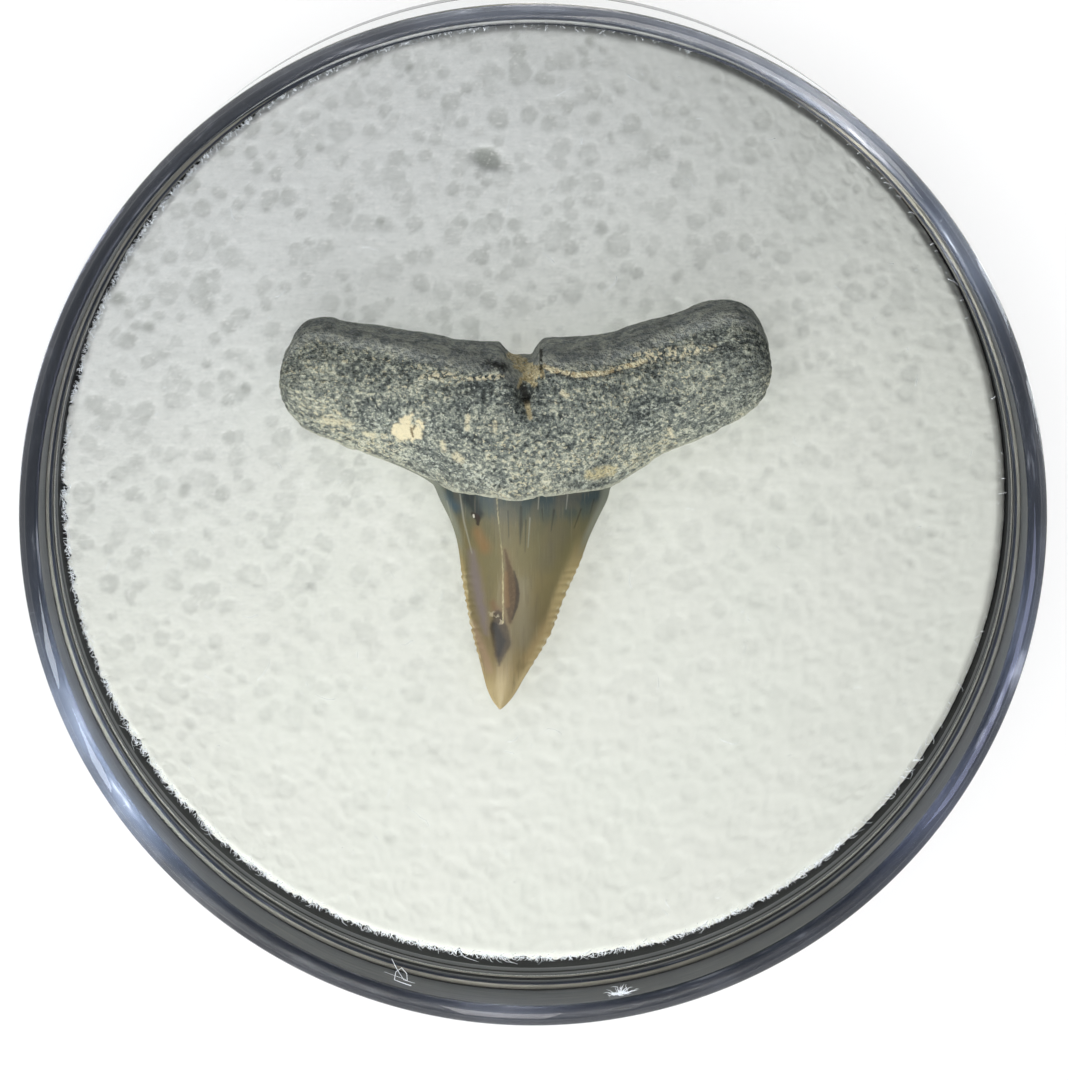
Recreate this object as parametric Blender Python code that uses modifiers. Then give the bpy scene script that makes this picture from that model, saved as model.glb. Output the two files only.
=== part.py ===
"""A fossil shark tooth kept in a small round display jar: black base with a neck, foam pad, the tooth on it, clear lid.

Frame: metres, +Z up. The origin is the centre of the base's underside, and +Z is the jar's axis.
+X runs along the root of the tooth, and the crown points to -Y.
"""

import math

import bmesh
import bpy

MM = 0.001

# ---------------------------------------------------------------- sizes, in millimetres
JAR_R = 15.875          # a 1 1/4 inch jar
JAR_H = 15.9            # 5/8 inch over the lid
SHOULDER_Z = 4.5        # top of the visible black band
NECK_R = 15.50          # outside of the neck, inside the lid's skirt
NECK_IN_R = 15.12
LEDGE_Z = 11.7          # a narrow ledge inside the neck, thinner above it
LEDGE_R = 15.28
NECK_Z = 14.9           # rim of the neck, just under the window
FLOOR_T = 1.2           # thickness of the base's floor
LID_IN_R = 15.56
LID_TOP_T = 0.9
LID_Z = SHOULDER_Z + 0.3
EDGE_R = 0.60           # rounding of the lid's edge
FOAM_R = 14.80
FOAM_Z0 = FLOOR_T + 0.3
FOAM_Z1 = 7.8
TOOTH_Z = FOAM_Z1 + 0.3  # the plane that the tooth lies on
TOOTH_X, TOOTH_Y = -0.253, 0.32
STEPS = 80              # facets round the jar's pieces

# The tooth is drawn in its own plane: u along the root, v from crown to root, height over the lying plane.
OUTLINE_K = 1.0108      # the outline's tables are drawn 1.1 % small
CROWN_K = (1.0133, 1.0286)
# Each rung of the root joins a point on its upper edge to one on its lower edge, from the left lobe to the right.
ROOT_RUNGS = [
    ((-7.66, 3.56), (-7.66, 3.56)),
    ((-7.63, 3.99), (-7.64, 3.12)),
    ((-7.52, 4.34), (-7.55, 2.78)),
    ((-7.36, 4.62), (-7.39, 2.46)),
    ((-7.18, 4.96), (-7.14, 2.18)),
    ((-6.93, 5.26), (-6.83, 1.90)),
    ((-6.58, 5.41), (-6.46, 1.73)),
    ((-6.08, 5.43), (-5.99, 1.56)),
    ((-5.62, 5.30), (-5.52, 1.34)),
    ((-4.84, 5.21), (-4.77, 1.09)),
    ((-3.90, 5.07), (-3.90, 0.75)),
    ((-2.96, 4.95), (-2.96, 0.31)),
    ((-2.03, 4.77), (-2.18, 0.03)),
    ((-1.25, 4.73), (-1.40, -0.05)),
    ((-0.84, 4.73), (-0.87, -0.12)),
    ((-0.66, 4.56), (-0.62, -0.17)),
    ((-0.41, 4.32), (-0.37, -0.20)),
    ((-0.09, 4.29), (-0.06, -0.19)),
    ((0.22, 4.31), (0.22, -0.12)),
    ((0.37, 4.56), (0.47, -0.06)),
    ((0.62, 4.80), (0.78, -0.03)),
    ((1.25, 4.84), (1.40, 0.00)),
    ((2.03, 4.90), (2.03, 0.03)),
    ((2.81, 5.02), (2.71, 0.12)),
    ((3.59, 5.27), (3.46, 0.56)),
    ((4.52, 5.49), (4.37, 1.19)),
    ((5.46, 5.87), (5.40, 1.59)),
    ((6.08, 5.97), (6.15, 1.95)),
    ((6.61, 5.93), (6.77, 2.31)),
    ((7.02, 5.73), (7.18, 2.61)),
    ((7.30, 5.37), (7.43, 2.90)),
    ((7.49, 4.99), (7.57, 3.21)),
    ((7.61, 4.49), (7.66, 3.46)),
    ((7.69, 3.90), (7.69, 3.90)),
]
ROOT_MID_Z = 1.60       # height of the root's outline edge
ROOT_BOTTOM_Z = 0.0
LOBE_TOP_Z = 3.10
TORUS_TOP_Z = 3.95      # the thick middle of the root
LOBE_RUNG = 3.80        # a rung shorter than this thins the root towards its end

# The crown's rows: v, left edge, right edge, height of the cutting edges, bulge above them, bulge below them.
CROWN_ROWS = [
    (0.95, -2.60, 2.60, 1.58, 0.90, 0.55),
    (0.62, -3.50, 3.52, 1.56, 1.05, 0.66),
    (0.31, -2.98, 2.90, 1.54, 1.16, 0.74),
    (0.09, -2.84, 2.68, 1.52, 1.22, 0.78),
    (-0.31, -2.65, 2.56, 1.49, 1.20, 0.77),
    (-0.94, -2.34, 2.25, 1.44, 1.12, 0.72),
    (-1.56, -2.14, 1.97, 1.39, 1.04, 0.66),
    (-2.18, -2.04, 1.75, 1.34, 0.96, 0.60),
    (-2.81, -1.97, 1.47, 1.29, 0.87, 0.54),
    (-3.43, -1.86, 1.19, 1.24, 0.78, 0.48),
    (-4.06, -1.75, 0.97, 1.19, 0.68, 0.41),
    (-4.68, -1.61, 0.70, 1.14, 0.57, 0.34),
    (-5.30, -1.44, 0.33, 1.08, 0.46, 0.27),
    (-5.93, -1.28, -0.06, 1.03, 0.33, 0.20),
    (-6.24, -1.19, -0.23, 1.01, 0.26, 0.16),
    (-6.55, -1.05, -0.44, 0.99, 0.17, 0.11),
    (-6.74, -0.92, -0.61, 0.98, 0.10, 0.07),
]
CROWN_TIP = (-0.81, -6.88, 0.97)
GROOVE_U = 0.06         # the nutrient groove in the middle of the root
GROOVE_D = 0.70
FORAMEN = (-0.22, 3.25, 3.95, 0.20)  # the small nutrient hole below the groove: u, v, height, radius
LIP = 0.10              # how far the root's edge stands over the crown


# ---------------------------------------------------------------- curves
def spline(values, t):
    """Catmull-Rom through a list of numbers or tuples, at t from 0 to 1."""
    last = len(values) - 1
    x = min(max(t, 0.0), 1.0) * last
    i = min(int(x), last - 1)
    f = x - i
    p1, p2 = values[i], values[i + 1]
    p0 = values[i - 1] if i else p1
    p3 = values[i + 2] if i + 2 <= last else p2

    def one(a, b, c, d):
        return 0.5 * (2 * b + (c - a) * f + (2 * a - 5 * b + 4 * c - d) * f * f + (3 * b - a - 3 * c + d) * f ** 3)

    if isinstance(p1, tuple):
        return tuple(one(*q) for q in zip(p0, p1, p2, p3))
    return one(p0, p1, p2, p3)


def smooth(a, b, x):
    t = min(max((x - a) / (b - a), 0.0), 1.0)
    return t * t * (3 - 2 * t)


def closed_loop(points, per_span):
    """A closed Catmull-Rom loop through points, with per_span samples from each point to the next."""
    n, made = len(points), []
    for i in range(n):
        p0, p1, p2, p3 = (points[(i + k) % n] for k in (-1, 0, 1, 2))
        for j in range(per_span):
            f = j / per_span
            made.append(tuple(
                0.5 * (2 * b + (c - a) * f + (2 * a - 5 * b + 4 * c - d) * f * f + (3 * b - a - 3 * c + d) * f ** 3)
                for a, b, c, d in zip(p0, p1, p2, p3)))
    return made


# ---------------------------------------------------------------- the tooth
def crown_top(u):
    """Height of the crown's upper face where the root's edge crosses it."""
    _, left, right, edge, bulge, _ = CROWN_ROWS[3]
    x = (2 * u - left - right) / (right - left)
    return edge + bulge * max(0.0, 1 - x * x) ** 0.85


def root_section(t, per_span):
    """The closed section of the root on one rung, as (u, v, height)."""
    u0, v0 = (OUTLINE_K * x for x in spline([r[0] for r in ROOT_RUNGS], t))
    u1, v1 = (OUTLINE_K * x for x in spline([r[1] for r in ROOT_RUNGS], t))
    rung = math.hypot(u1 - u0, v1 - v0)
    full = min(1.0, rung / LOBE_RUNG)
    middle = 1 - smooth(1.6, 5.2, abs(u0 + 0.1))
    top = ROOT_MID_Z + (LOBE_TOP_Z + (TORUS_TOP_Z - LOBE_TOP_Z) * middle - ROOT_MID_Z) * full
    low = ROOT_MID_Z + (ROOT_BOTTOM_Z + 0.12 * middle - ROOT_MID_Z) * full
    cut = GROOVE_D * math.exp(-((u0 - GROOVE_U) / 0.36) ** 2)
    under_crown = 1 - smooth(2.3, 3.3, abs(u1 + 0.08))
    lip = ROOT_MID_Z + (max(crown_top(u1), ROOT_MID_Z) + LIP - ROOT_MID_Z) * under_crown * full
    lip = max(lip, ROOT_MID_Z - 0.02 * full)
    ridge = 0.25 + 0.13 * (1 - middle)
    side = low + 0.46 * (top - low)
    run = 1 - ridge
    fall = top - lip
    corner = 0.12 * full
    shape = [
        (0.000, side),
        (0.025, side + 0.52 * (top - side) - 0.6 * cut),
        (0.100, side + 0.86 * (top - side) - cut),
        (ridge, top - 0.8 * cut),
        (ridge + 0.28 * run, lip + 0.93 * fall),
        (ridge + 0.52 * run, lip + 0.74 * fall),
        (ridge + 0.76 * run, lip + 0.42 * fall),
        (0.955, lip + 0.10 * fall),
        (1.000, lip - corner),
        (0.985, low + 0.55 * (lip - low)),
        (0.930, low + 0.24 * (lip - low)),
        (0.800, low + 0.05 * (lip - low)),
        (0.500, low),
        (0.220, low + 0.04 * (side - low)),
        (0.060, low + 0.32 * (side - low)),
    ]
    return [(u0 + (u1 - u0) * w, v0 + (v1 - v0) * w, z) for w, z in closed_loop(shape, per_span)]


def crown_section(t, around):
    """The closed lens section of the crown on one row, as (u, v, height)."""
    v, left, right, edge, up, down = spline(CROWN_ROWS, t)
    v *= CROWN_K[1]
    mid, half = CROWN_K[0] * (left + right) / 2, CROWN_K[0] * (right - left) / 2
    made = []
    for i in range(around):
        a = 2 * math.pi * i / around
        x = -math.cos(a)
        bow = max(0.0, 1 - x * x)
        z = edge + (up * bow ** 0.85 if math.sin(a) > 0 else -down * bow)
        made.append((mid + half * x, v, z))
    return made


def loft(name, sections, start, end):
    """A closed mesh through sections of equal length, shut at each end by a point or by a flat cap where it is None."""
    mesh = bmesh.new()

    def vert(p):
        return mesh.verts.new((
            (TOOTH_X + p[0]) * MM, (TOOTH_Y + p[1]) * MM, (TOOTH_Z + p[2]) * MM))

    rings = [[vert(p) for p in section] for section in sections]
    for a, b in zip(rings, rings[1:]):
        for i in range(len(a)):
            j = (i + 1) % len(a)
            mesh.faces.new((a[i], a[j], b[j], b[i]))
    for ring, point in ((rings[0], start), (rings[-1], end)):
        if point is None:
            mesh.faces.new(ring)
        else:
            pole = vert(point)
            for i in range(len(ring)):
                mesh.faces.new((ring[i], ring[(i + 1) % len(ring)], pole))
    bmesh.ops.recalc_face_normals(mesh, faces=mesh.faces)
    data = bpy.data.meshes.new(name)
    mesh.to_mesh(data)
    mesh.free()
    return bpy.data.objects.new(name, data)


def make_tooth():
    spans = len(ROOT_RUNGS) - 1
    stations = [i / spans for i in range(1, spans)]
    stations += [(i + 0.5) / spans for i in (8, 9, 10, 11, 21, 22, 23, 24, 25)]
    u, v = (OUTLINE_K * x for x in ROOT_RUNGS[0][0])
    u9, v9 = (OUTLINE_K * x for x in ROOT_RUNGS[-1][0])
    root = loft("fossil_tooth", [root_section(t, 2) for t in sorted(stations)],
                (u, v, ROOT_MID_Z), (u9, v9, ROOT_MID_Z))
    rows = len(CROWN_ROWS) - 1
    crown = loft("crown_form", [crown_section(i / rows, 28) for i in range(rows + 1)],
                 None, (CROWN_K[0] * CROWN_TIP[0], CROWN_K[1] * CROWN_TIP[1], CROWN_TIP[2]))
    cutters.objects.link(crown)
    crown.hide_render = True
    crown.display_type = "WIRE"
    place(root, (0.33, 0.34, 0.33), 0.75, 0.0)
    join = root.modifiers.new("crown", "BOOLEAN")
    join.operation = "UNION"
    join.solver = "EXACT"
    join.object = crown
    bpy.ops.mesh.primitive_ico_sphere_add(subdivisions=2, radius=1.0)
    hole = bpy.context.object
    hole.name = "foramen_form"
    u, v, z, r = FORAMEN
    hole.location = ((TOOTH_X + u) * MM, (TOOTH_Y + v) * MM, (TOOTH_Z + z) * MM)
    hole.scale = (r * MM, 1.25 * r * MM, 2.4 * r * MM)
    for group in list(hole.users_collection):
        group.objects.unlink(hole)
    cutters.objects.link(hole)
    hole.hide_render = True
    hole.display_type = "WIRE"
    pierce = root.modifiers.new("foramen", "BOOLEAN")
    pierce.operation = "DIFFERENCE"
    pierce.solver = "EXACT"
    pierce.object = hole
    return root


# ---------------------------------------------------------------- the jar
def turned(name, profile):
    """A closed profile of (radius, height) in millimetres, turned about the jar's axis. It runs down its outer side."""
    mesh = bpy.data.meshes.new(name)
    verts = [(r * MM, 0.0, z * MM) for r, z in profile]
    ends_on_axis = profile[0][0] == 0.0 and profile[-1][0] == 0.0
    edges = [(i, i + 1) for i in range(len(verts) - 1)]
    if not ends_on_axis:
        edges.append((len(verts) - 1, 0))
    mesh.from_pydata(verts, edges, [])
    obj = bpy.data.objects.new(name, mesh)
    screw = obj.modifiers.new("turn", "SCREW")
    screw.axis = "Z"
    screw.angle = 2 * math.pi
    screw.steps = screw.render_steps = STEPS
    screw.use_merge_vertices = True
    screw.merge_threshold = 0.000002
    screw.use_smooth_shade = True
    return obj


def arc(cx, cz, r, a0, a1, n):
    """Points of an arc from angle a0 to a1 in degrees, 0 pointing outwards and 90 up."""
    return [(cx + r * math.cos(math.radians(a0 + (a1 - a0) * i / n)),
             cz + r * math.sin(math.radians(a0 + (a1 - a0) * i / n))) for i in range(n + 1)]


def make_base():
    """Floor, outer band up to the shoulder, and the neck that the lid slides over."""
    profile = [(0.0, FLOOR_T), (NECK_IN_R - 0.3, FLOOR_T), (NECK_IN_R, FLOOR_T + 0.3)]
    profile += [(NECK_IN_R, LEDGE_Z - 0.05), (NECK_IN_R + 0.05, LEDGE_Z), (LEDGE_R, LEDGE_Z)]
    profile += [(LEDGE_R, NECK_Z - 0.06), (LEDGE_R + 0.06, NECK_Z)]
    profile += [(NECK_R - 0.06, NECK_Z), (NECK_R, NECK_Z - 0.06)]
    profile += [(NECK_R, SHOULDER_Z), (JAR_R - 0.1, SHOULDER_Z), (JAR_R, SHOULDER_Z - 0.1)]
    profile += arc(JAR_R - 0.5, 0.5, 0.5, 0, -90, 3)
    profile += [(0.0, 0.0)]
    return turned("jar_base", profile)


def make_lid():
    """Flat window with a rounded edge and a straight skirt."""
    top = JAR_H
    profile = [(0.0, top)]
    profile += arc(JAR_R - EDGE_R, top - EDGE_R, EDGE_R, 90, 0, 4)
    profile += [(JAR_R, LID_Z + 0.08), (JAR_R - 0.08, LID_Z), (LID_IN_R + 0.08, LID_Z), (LID_IN_R, LID_Z + 0.08)]
    profile += [(LID_IN_R, top - LID_TOP_T - 0.05), (LID_IN_R - 0.05, top - LID_TOP_T), (0.0, top - LID_TOP_T)]
    return turned("jar_lid", profile)


def make_foam():
    profile = [(0.0, FOAM_Z1), (FOAM_R - 0.25, FOAM_Z1), (FOAM_R, FOAM_Z1 - 0.25), (FOAM_R, FOAM_Z0 + 0.25),
               (FOAM_R - 0.25, FOAM_Z0), (0.0, FOAM_Z0)]
    return turned("foam_pad", profile)


# ---------------------------------------------------------------- scene set-up
def place(obj, colour, roughness, metallic, alpha=1.0):
    material = bpy.data.materials.new(obj.name + "_finish")
    material.use_nodes = True
    shader = material.node_tree.nodes["Principled BSDF"]
    shader.inputs["Base Color"].default_value = (*colour, 1.0)
    shader.inputs["Roughness"].default_value = roughness
    shader.inputs["Metallic"].default_value = metallic
    shader.inputs["Alpha"].default_value = alpha
    obj.data.materials.append(material)
    parts.objects.link(obj)
    obj.parent = stand
    return obj


for old in list(bpy.data.objects):
    bpy.data.objects.remove(old, do_unlink=True)
parts = bpy.data.collections.new("fossil_tooth_in_jar")
cutters = bpy.data.collections.new("joined_forms")
bpy.context.scene.collection.children.link(parts)
bpy.context.scene.collection.children.link(cutters)
stand = bpy.data.objects.new("jar_axis", None)
parts.objects.link(stand)

place(make_base(), (0.012, 0.013, 0.015), 0.22, 0.0)
place(make_foam(), (0.80, 0.82, 0.78), 0.95, 0.0)
make_tooth()
place(make_lid(), (0.93, 0.95, 0.96), 0.05, 0.0, alpha=0.25)
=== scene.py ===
"""Looks of the fossil shark tooth in its round display jar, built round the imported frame."""

import math

import bmesh
import bpy
import numpy as np
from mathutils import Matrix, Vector
from mathutils.bvhtree import BVHTree
from mathutils.kdtree import KDTree


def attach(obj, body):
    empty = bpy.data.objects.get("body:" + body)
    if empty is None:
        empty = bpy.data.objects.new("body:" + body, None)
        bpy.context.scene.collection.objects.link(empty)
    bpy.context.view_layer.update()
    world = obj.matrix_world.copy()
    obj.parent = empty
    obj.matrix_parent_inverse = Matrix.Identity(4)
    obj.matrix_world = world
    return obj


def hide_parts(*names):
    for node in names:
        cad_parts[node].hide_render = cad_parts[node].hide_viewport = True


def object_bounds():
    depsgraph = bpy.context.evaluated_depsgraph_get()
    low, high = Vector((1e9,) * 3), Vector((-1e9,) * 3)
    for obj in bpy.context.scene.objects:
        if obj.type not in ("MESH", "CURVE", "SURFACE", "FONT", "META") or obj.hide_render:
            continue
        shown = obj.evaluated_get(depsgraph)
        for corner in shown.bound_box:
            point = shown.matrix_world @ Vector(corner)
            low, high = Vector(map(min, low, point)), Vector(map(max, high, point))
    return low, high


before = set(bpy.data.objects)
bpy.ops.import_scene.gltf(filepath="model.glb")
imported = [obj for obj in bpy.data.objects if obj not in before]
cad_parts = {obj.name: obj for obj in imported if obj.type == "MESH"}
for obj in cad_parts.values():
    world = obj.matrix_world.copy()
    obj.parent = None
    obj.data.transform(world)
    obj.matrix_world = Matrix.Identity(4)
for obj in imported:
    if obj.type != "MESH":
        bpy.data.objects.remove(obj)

cad_lo, cad_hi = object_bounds()
MM = 0.001

# ------------------------------------------------------------------ the camera, in millimetres
CAM_D = 200.0
TILT = math.radians(6.2)
PX_PER_MM = 32.464
AIM = Vector((0.03, -0.608, 15.9))
FWD = Vector((0.0, -math.sin(TILT), -math.cos(TILT)))
UP = Vector((0.0, math.cos(TILT), -math.sin(TILT)))
EYE = AIM - FWD * CAM_D
F_PX = PX_PER_MM * CAM_D


def sight(px, py):
    """Direction of the line of sight through a point of the 1068 x 1080 picture."""
    return (FWD + Vector((1, 0, 0)) * ((px - 534) / F_PX) - UP * ((py - 540) / F_PX)).normalized()


def at(px, py, z):
    """The point at height z that is seen there."""
    d = sight(px, py)
    return EYE + d * ((z - EYE.z) / d.z)


# ------------------------------------------------------------------ numbers
def smooth(a, b, x):
    t = np.clip((np.asarray(x, float) - a) / (b - a), 0, 1)
    return t * t * (3 - 2 * t)


def _hash(i, j, k, seed):
    n = (i * 374761393 + j * 668265263 + k * 1440662683 + seed * 362437) & 0xFFFFFFFF
    n = ((n ^ (n >> 13)) * 1274126177) & 0xFFFFFFFF
    n = ((n ^ (n >> 15)) * 2246822519) & 0xFFFFFFFF
    return ((n ^ (n >> 16)) & 0xFFFFFF) / float(0xFFFFFF)


def vnoise(p, seed=0):
    """Smooth noise from 0 to 1 at points p (n x 3)."""
    q = np.floor(p).astype(np.int64)
    f = p - q
    f = f * f * (3 - 2 * f)
    out = 0
    for dx in (0, 1):
        for dy in (0, 1):
            for dz in (0, 1):
                w = (f[:, 0] if dx else 1 - f[:, 0]) * (f[:, 1] if dy else 1 - f[:, 1]) * (f[:, 2] if dz else 1 - f[:, 2])
                out = out + w * _hash(q[:, 0] + dx, q[:, 1] + dy, q[:, 2] + dz, seed)
    return out


def fbm(p, octaves=4, seed=0, gain=0.5):
    out, amp, total = 0, 1.0, 0.0
    for i in range(octaves):
        out = out + amp * vnoise(p * (2.03 ** i) + 17.3 * i, seed + i)
        total += amp
        amp *= gain
    return out / total


def cells(xy, size, seed=0, jitter=0.9):
    """Distance to the nearest and second nearest of jittered points, in units of size, and a random number of the nearest."""
    p = xy / size
    q = np.floor(p).astype(np.int64)
    d1 = np.full(len(p), 9.0)
    d2 = np.full(len(p), 9.0)
    who = np.zeros(len(p))
    zero = np.zeros(len(p), np.int64)
    for dx in (-1, 0, 1):
        for dy in (-1, 0, 1):
            i, j = q[:, 0] + dx, q[:, 1] + dy
            cx = i + 0.5 + jitter * (_hash(i, j, zero, seed) - 0.5)
            cy = j + 0.5 + jitter * (_hash(i, j, zero + 7, seed) - 0.5)
            d = np.hypot(p[:, 0] - cx, p[:, 1] - cy)
            r = _hash(i, j, zero + 13, seed)
            nearer = d < d1
            d2 = np.where(nearer, d1, np.minimum(d2, d))
            who = np.where(nearer, r, who)
            d1 = np.where(nearer, d, d1)
    return d1, d2, who


# ------------------------------------------------------------------ meshes
def mesh_object(name, verts, faces, shade=True):
    """An object from points in millimetres."""
    data = bpy.data.meshes.new(name)
    data.from_pydata([tuple(v) for v in np.asarray(verts, float) * MM], [], [tuple(f) for f in faces])
    data.update()
    if shade:
        data.polygons.foreach_set("use_smooth", [True] * len(data.polygons))
    obj = bpy.data.objects.new(name, data)
    bpy.context.scene.collection.objects.link(obj)
    return obj


def attribute(data, name, values):
    a = data.attributes.new(name, "FLOAT", "POINT")
    a.data.foreach_set("value", np.asarray(values, np.float32))


def carried(obj, node=None):
    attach(obj, "root")
    if node:
        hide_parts(node)
    return obj


def revolve(name, profile, steps):
    """A closed profile of (radius, height, finish) turned about the jar's axis; finish is that of the band from this point on."""
    verts, rows, finish = [], [], []
    profile = [(*q, 0) if len(q) == 2 else q for q in profile]
    for r, z, _ in profile:
        if r < 1e-6:
            rows.append([len(verts)])
            verts.append((0.0, 0.0, z))
        else:
            rows.append(list(range(len(verts), len(verts) + steps)))
            for i in range(steps):
                a = 2 * math.pi * i / steps
                verts.append((r * math.cos(a), r * math.sin(a), z))
    faces = []
    pairs = list(zip(rows, rows[1:], [q[2] for q in profile]))
    if profile[0][0] > 1e-6 or profile[-1][0] > 1e-6:
        pairs.append((rows[-1], rows[0], profile[-1][2]))
    for a, b, kind in pairs:
        finish += [kind] * steps
        for i in range(steps):
            j = (i + 1) % steps
            if len(a) == 1:
                faces.append((a[0], b[i], b[j]))
            elif len(b) == 1:
                faces.append((a[i], b[0], a[j]))
            else:
                faces.append((a[i], b[i], b[j], a[j]))
    obj = mesh_object(name, verts, faces)
    obj.data.polygons.foreach_set("material_index", finish)
    return obj


def arc(cx, cz, r, a0, a1, n):
    return [(cx + r * math.cos(math.radians(a0 + (a1 - a0) * i / n)),
             cz + r * math.sin(math.radians(a0 + (a1 - a0) * i / n))) for i in range(n + 1)]


# ------------------------------------------------------------------ materials
def lin(r, g, b, k=1.0):
    """A linear colour from 0-255 display values."""
    def one(c):
        c /= 255.0
        return k * (c / 12.92 if c <= 0.04045 else ((c + 0.055) / 1.055) ** 2.4)
    return (one(r), one(g), one(b))


class Mat:
    """A Principled material, with short names for the nodes that lead to it."""

    def __init__(self, name):
        self.m = bpy.data.materials.new(name)
        self.m.use_nodes = True
        self.t = self.m.node_tree
        self.bsdf = self.t.nodes["Principled BSDF"]
        place = self.t.nodes.new("ShaderNodeTexCoord")
        self.p = self.vec("SCALE", place.outputs["Object"], scale=1000.0)
        part = self.t.nodes.new("ShaderNodeSeparateXYZ")
        self.put(self.p, part.inputs[0])
        self.x, self.y, self.z = part.outputs
        flat = self.t.nodes.new("ShaderNodeCombineXYZ")
        self.put(self.x, flat.inputs[0])
        self.put(self.y, flat.inputs[1])
        self.flat = flat.outputs[0]

    def put(self, a, socket):
        if isinstance(a, (int, float)):
            socket.default_value = a
        elif isinstance(a, (tuple, list, Vector)):
            a = tuple(a)
            socket.default_value = (*a, 1.0) if len(socket.default_value) == 4 and len(a) == 3 else a
        else:
            self.t.links.new(a, socket)

    def set(self, **values):
        for k, v in values.items():
            self.put(v, self.bsdf.inputs[k.replace("_", " ")])

    def math(self, op, a, b=0.0, c=None, clamp=False):
        n = self.t.nodes.new("ShaderNodeMath")
        n.operation = op
        self.put(a, n.inputs[0])
        self.put(b, n.inputs[1])
        if c is not None:
            self.put(c, n.inputs[2])
        if not clamp:
            return n.outputs[0]
        # a clamp of its own: the tick box would fill the shader's stack in a long net
        k = self.t.nodes.new("ShaderNodeClamp")
        self.put(n.outputs[0], k.inputs[0])
        return k.outputs[0]

    def add(self, a, b):
        return self.math("ADD", a, b)

    def sub(self, a, b):
        return self.math("SUBTRACT", a, b)

    def mul(self, *items):
        out = items[0]
        for i in items[1:]:
            out = self.math("MULTIPLY", out, i)
        return out

    def most(self, *items):
        out = items[0]
        for i in items[1:]:
            out = self.math("MAXIMUM", out, i)
        return out

    def vec(self, op, a, b=None, scale=None):
        n = self.t.nodes.new("ShaderNodeVectorMath")
        n.operation = op
        self.put(a, n.inputs[0])
        if b is not None:
            self.put(b, n.inputs[1])
        if scale is not None:
            self.put(scale, n.inputs["Scale"])
        return n.outputs["Value"] if op in ("LENGTH", "DISTANCE", "DOT_PRODUCT") else n.outputs["Vector"]

    def noise(self, scale, detail=2.0, rough=0.5, p=None, colour=False, distortion=0.0):
        n = self.t.nodes.new("ShaderNodeTexNoise")
        self.put(p or self.p, n.inputs["Vector"])
        n.inputs["Scale"].default_value = scale
        n.inputs["Detail"].default_value = detail
        n.inputs["Roughness"].default_value = rough
        n.inputs["Distortion"].default_value = distortion
        return n.outputs["Color" if colour else "Fac"]

    def voronoi(self, scale, feature="F1", p=None, randomness=1.0):
        n = self.t.nodes.new("ShaderNodeTexVoronoi")
        n.feature = feature
        self.put(p or self.p, n.inputs["Vector"])
        n.inputs["Scale"].default_value = scale
        n.inputs["Randomness"].default_value = randomness
        return n.outputs["Distance"]

    def step(self, x, lo, hi, a=0.0, b=1.0):
        n = self.t.nodes.new("ShaderNodeMapRange")
        n.interpolation_type = "SMOOTHSTEP"
        self.put(x, n.inputs["Value"])
        n.inputs["From Min"].default_value = lo
        n.inputs["From Max"].default_value = hi
        n.inputs["To Min"].default_value = a
        n.inputs["To Max"].default_value = b
        return n.outputs["Result"]

    def mix(self, fac, a, b, kind="MIX"):
        n = self.t.nodes.new("ShaderNodeMix")
        n.data_type = "RGBA"
        n.blend_type = kind
        self.put(fac, n.inputs[0])
        self.put(a, n.inputs[6])
        self.put(b, n.inputs[7])
        return n.outputs[2]

    def ramp(self, x, stops):
        n = self.t.nodes.new("ShaderNodeValToRGB")
        self.put(x, n.inputs[0])
        e = n.color_ramp.elements
        while len(e) < len(stops):
            e.new(0.5)
        for k, (pos, c) in zip(e, stops):
            k.position = pos
            k.color = (*c, 1.0) if isinstance(c, tuple) else (c, c, c, 1.0)
        return n.outputs[0]

    def attr(self, name):
        n = self.t.nodes.new("ShaderNodeAttribute")
        n.attribute_name = name
        return n.outputs["Fac"]

    def bump(self, height, distance, strength=1.0, normal=None):
        n = self.t.nodes.new("ShaderNodeBump")
        n.inputs["Strength"].default_value = strength
        n.inputs["Distance"].default_value = distance
        self.put(height, n.inputs["Height"])
        if normal is not None:
            self.put(normal, n.inputs["Normal"])
        return n.outputs["Normal"]

    def shaken(self, scale, amount, detail=2.0):
        """The flat position pushed about by noise, so that edges aren't smooth."""
        c = self.noise(scale, detail, colour=True)
        return self.vec("ADD", self.flat, self.vec("SCALE", self.vec("SUBTRACT", c, (0.5, 0.5, 0.5)), scale=amount * 2))

    def seg(self, p0, p1, w0, w1=None, soft=0.03, p=None):
        """1 on the stretch from p0 to p1, seen from above, w0 to w1 wide each side of it; 0 elsewhere."""
        w1 = w0 if w1 is None else w1
        a = Vector((p0[0], p0[1], 0.0))
        d = Vector((p1[0], p1[1], 0.0)) - a
        q = self.vec("SUBTRACT", p or self.flat, a)
        if d.length > 1e-6:
            t = self.math("MULTIPLY", self.vec("DOT_PRODUCT", q, d), 1.0 / d.length_squared, clamp=True)
            q = self.vec("SUBTRACT", q, self.vec("SCALE", d, scale=t))
            width = self.math("MULTIPLY_ADD", t, w1 - w0, w0)
        else:
            width = w0
        return self.step(self.sub(self.vec("LENGTH", q), width), -soft, soft, 1.0, 0.0)

    def path(self, points, widths, soft=0.03, p=None):
        out = None
        for i in range(len(points) - 1):
            s = self.seg(points[i], points[i + 1], widths[i], widths[i + 1], soft, p)
            out = s if out is None else self.most(out, s)
        return out


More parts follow.
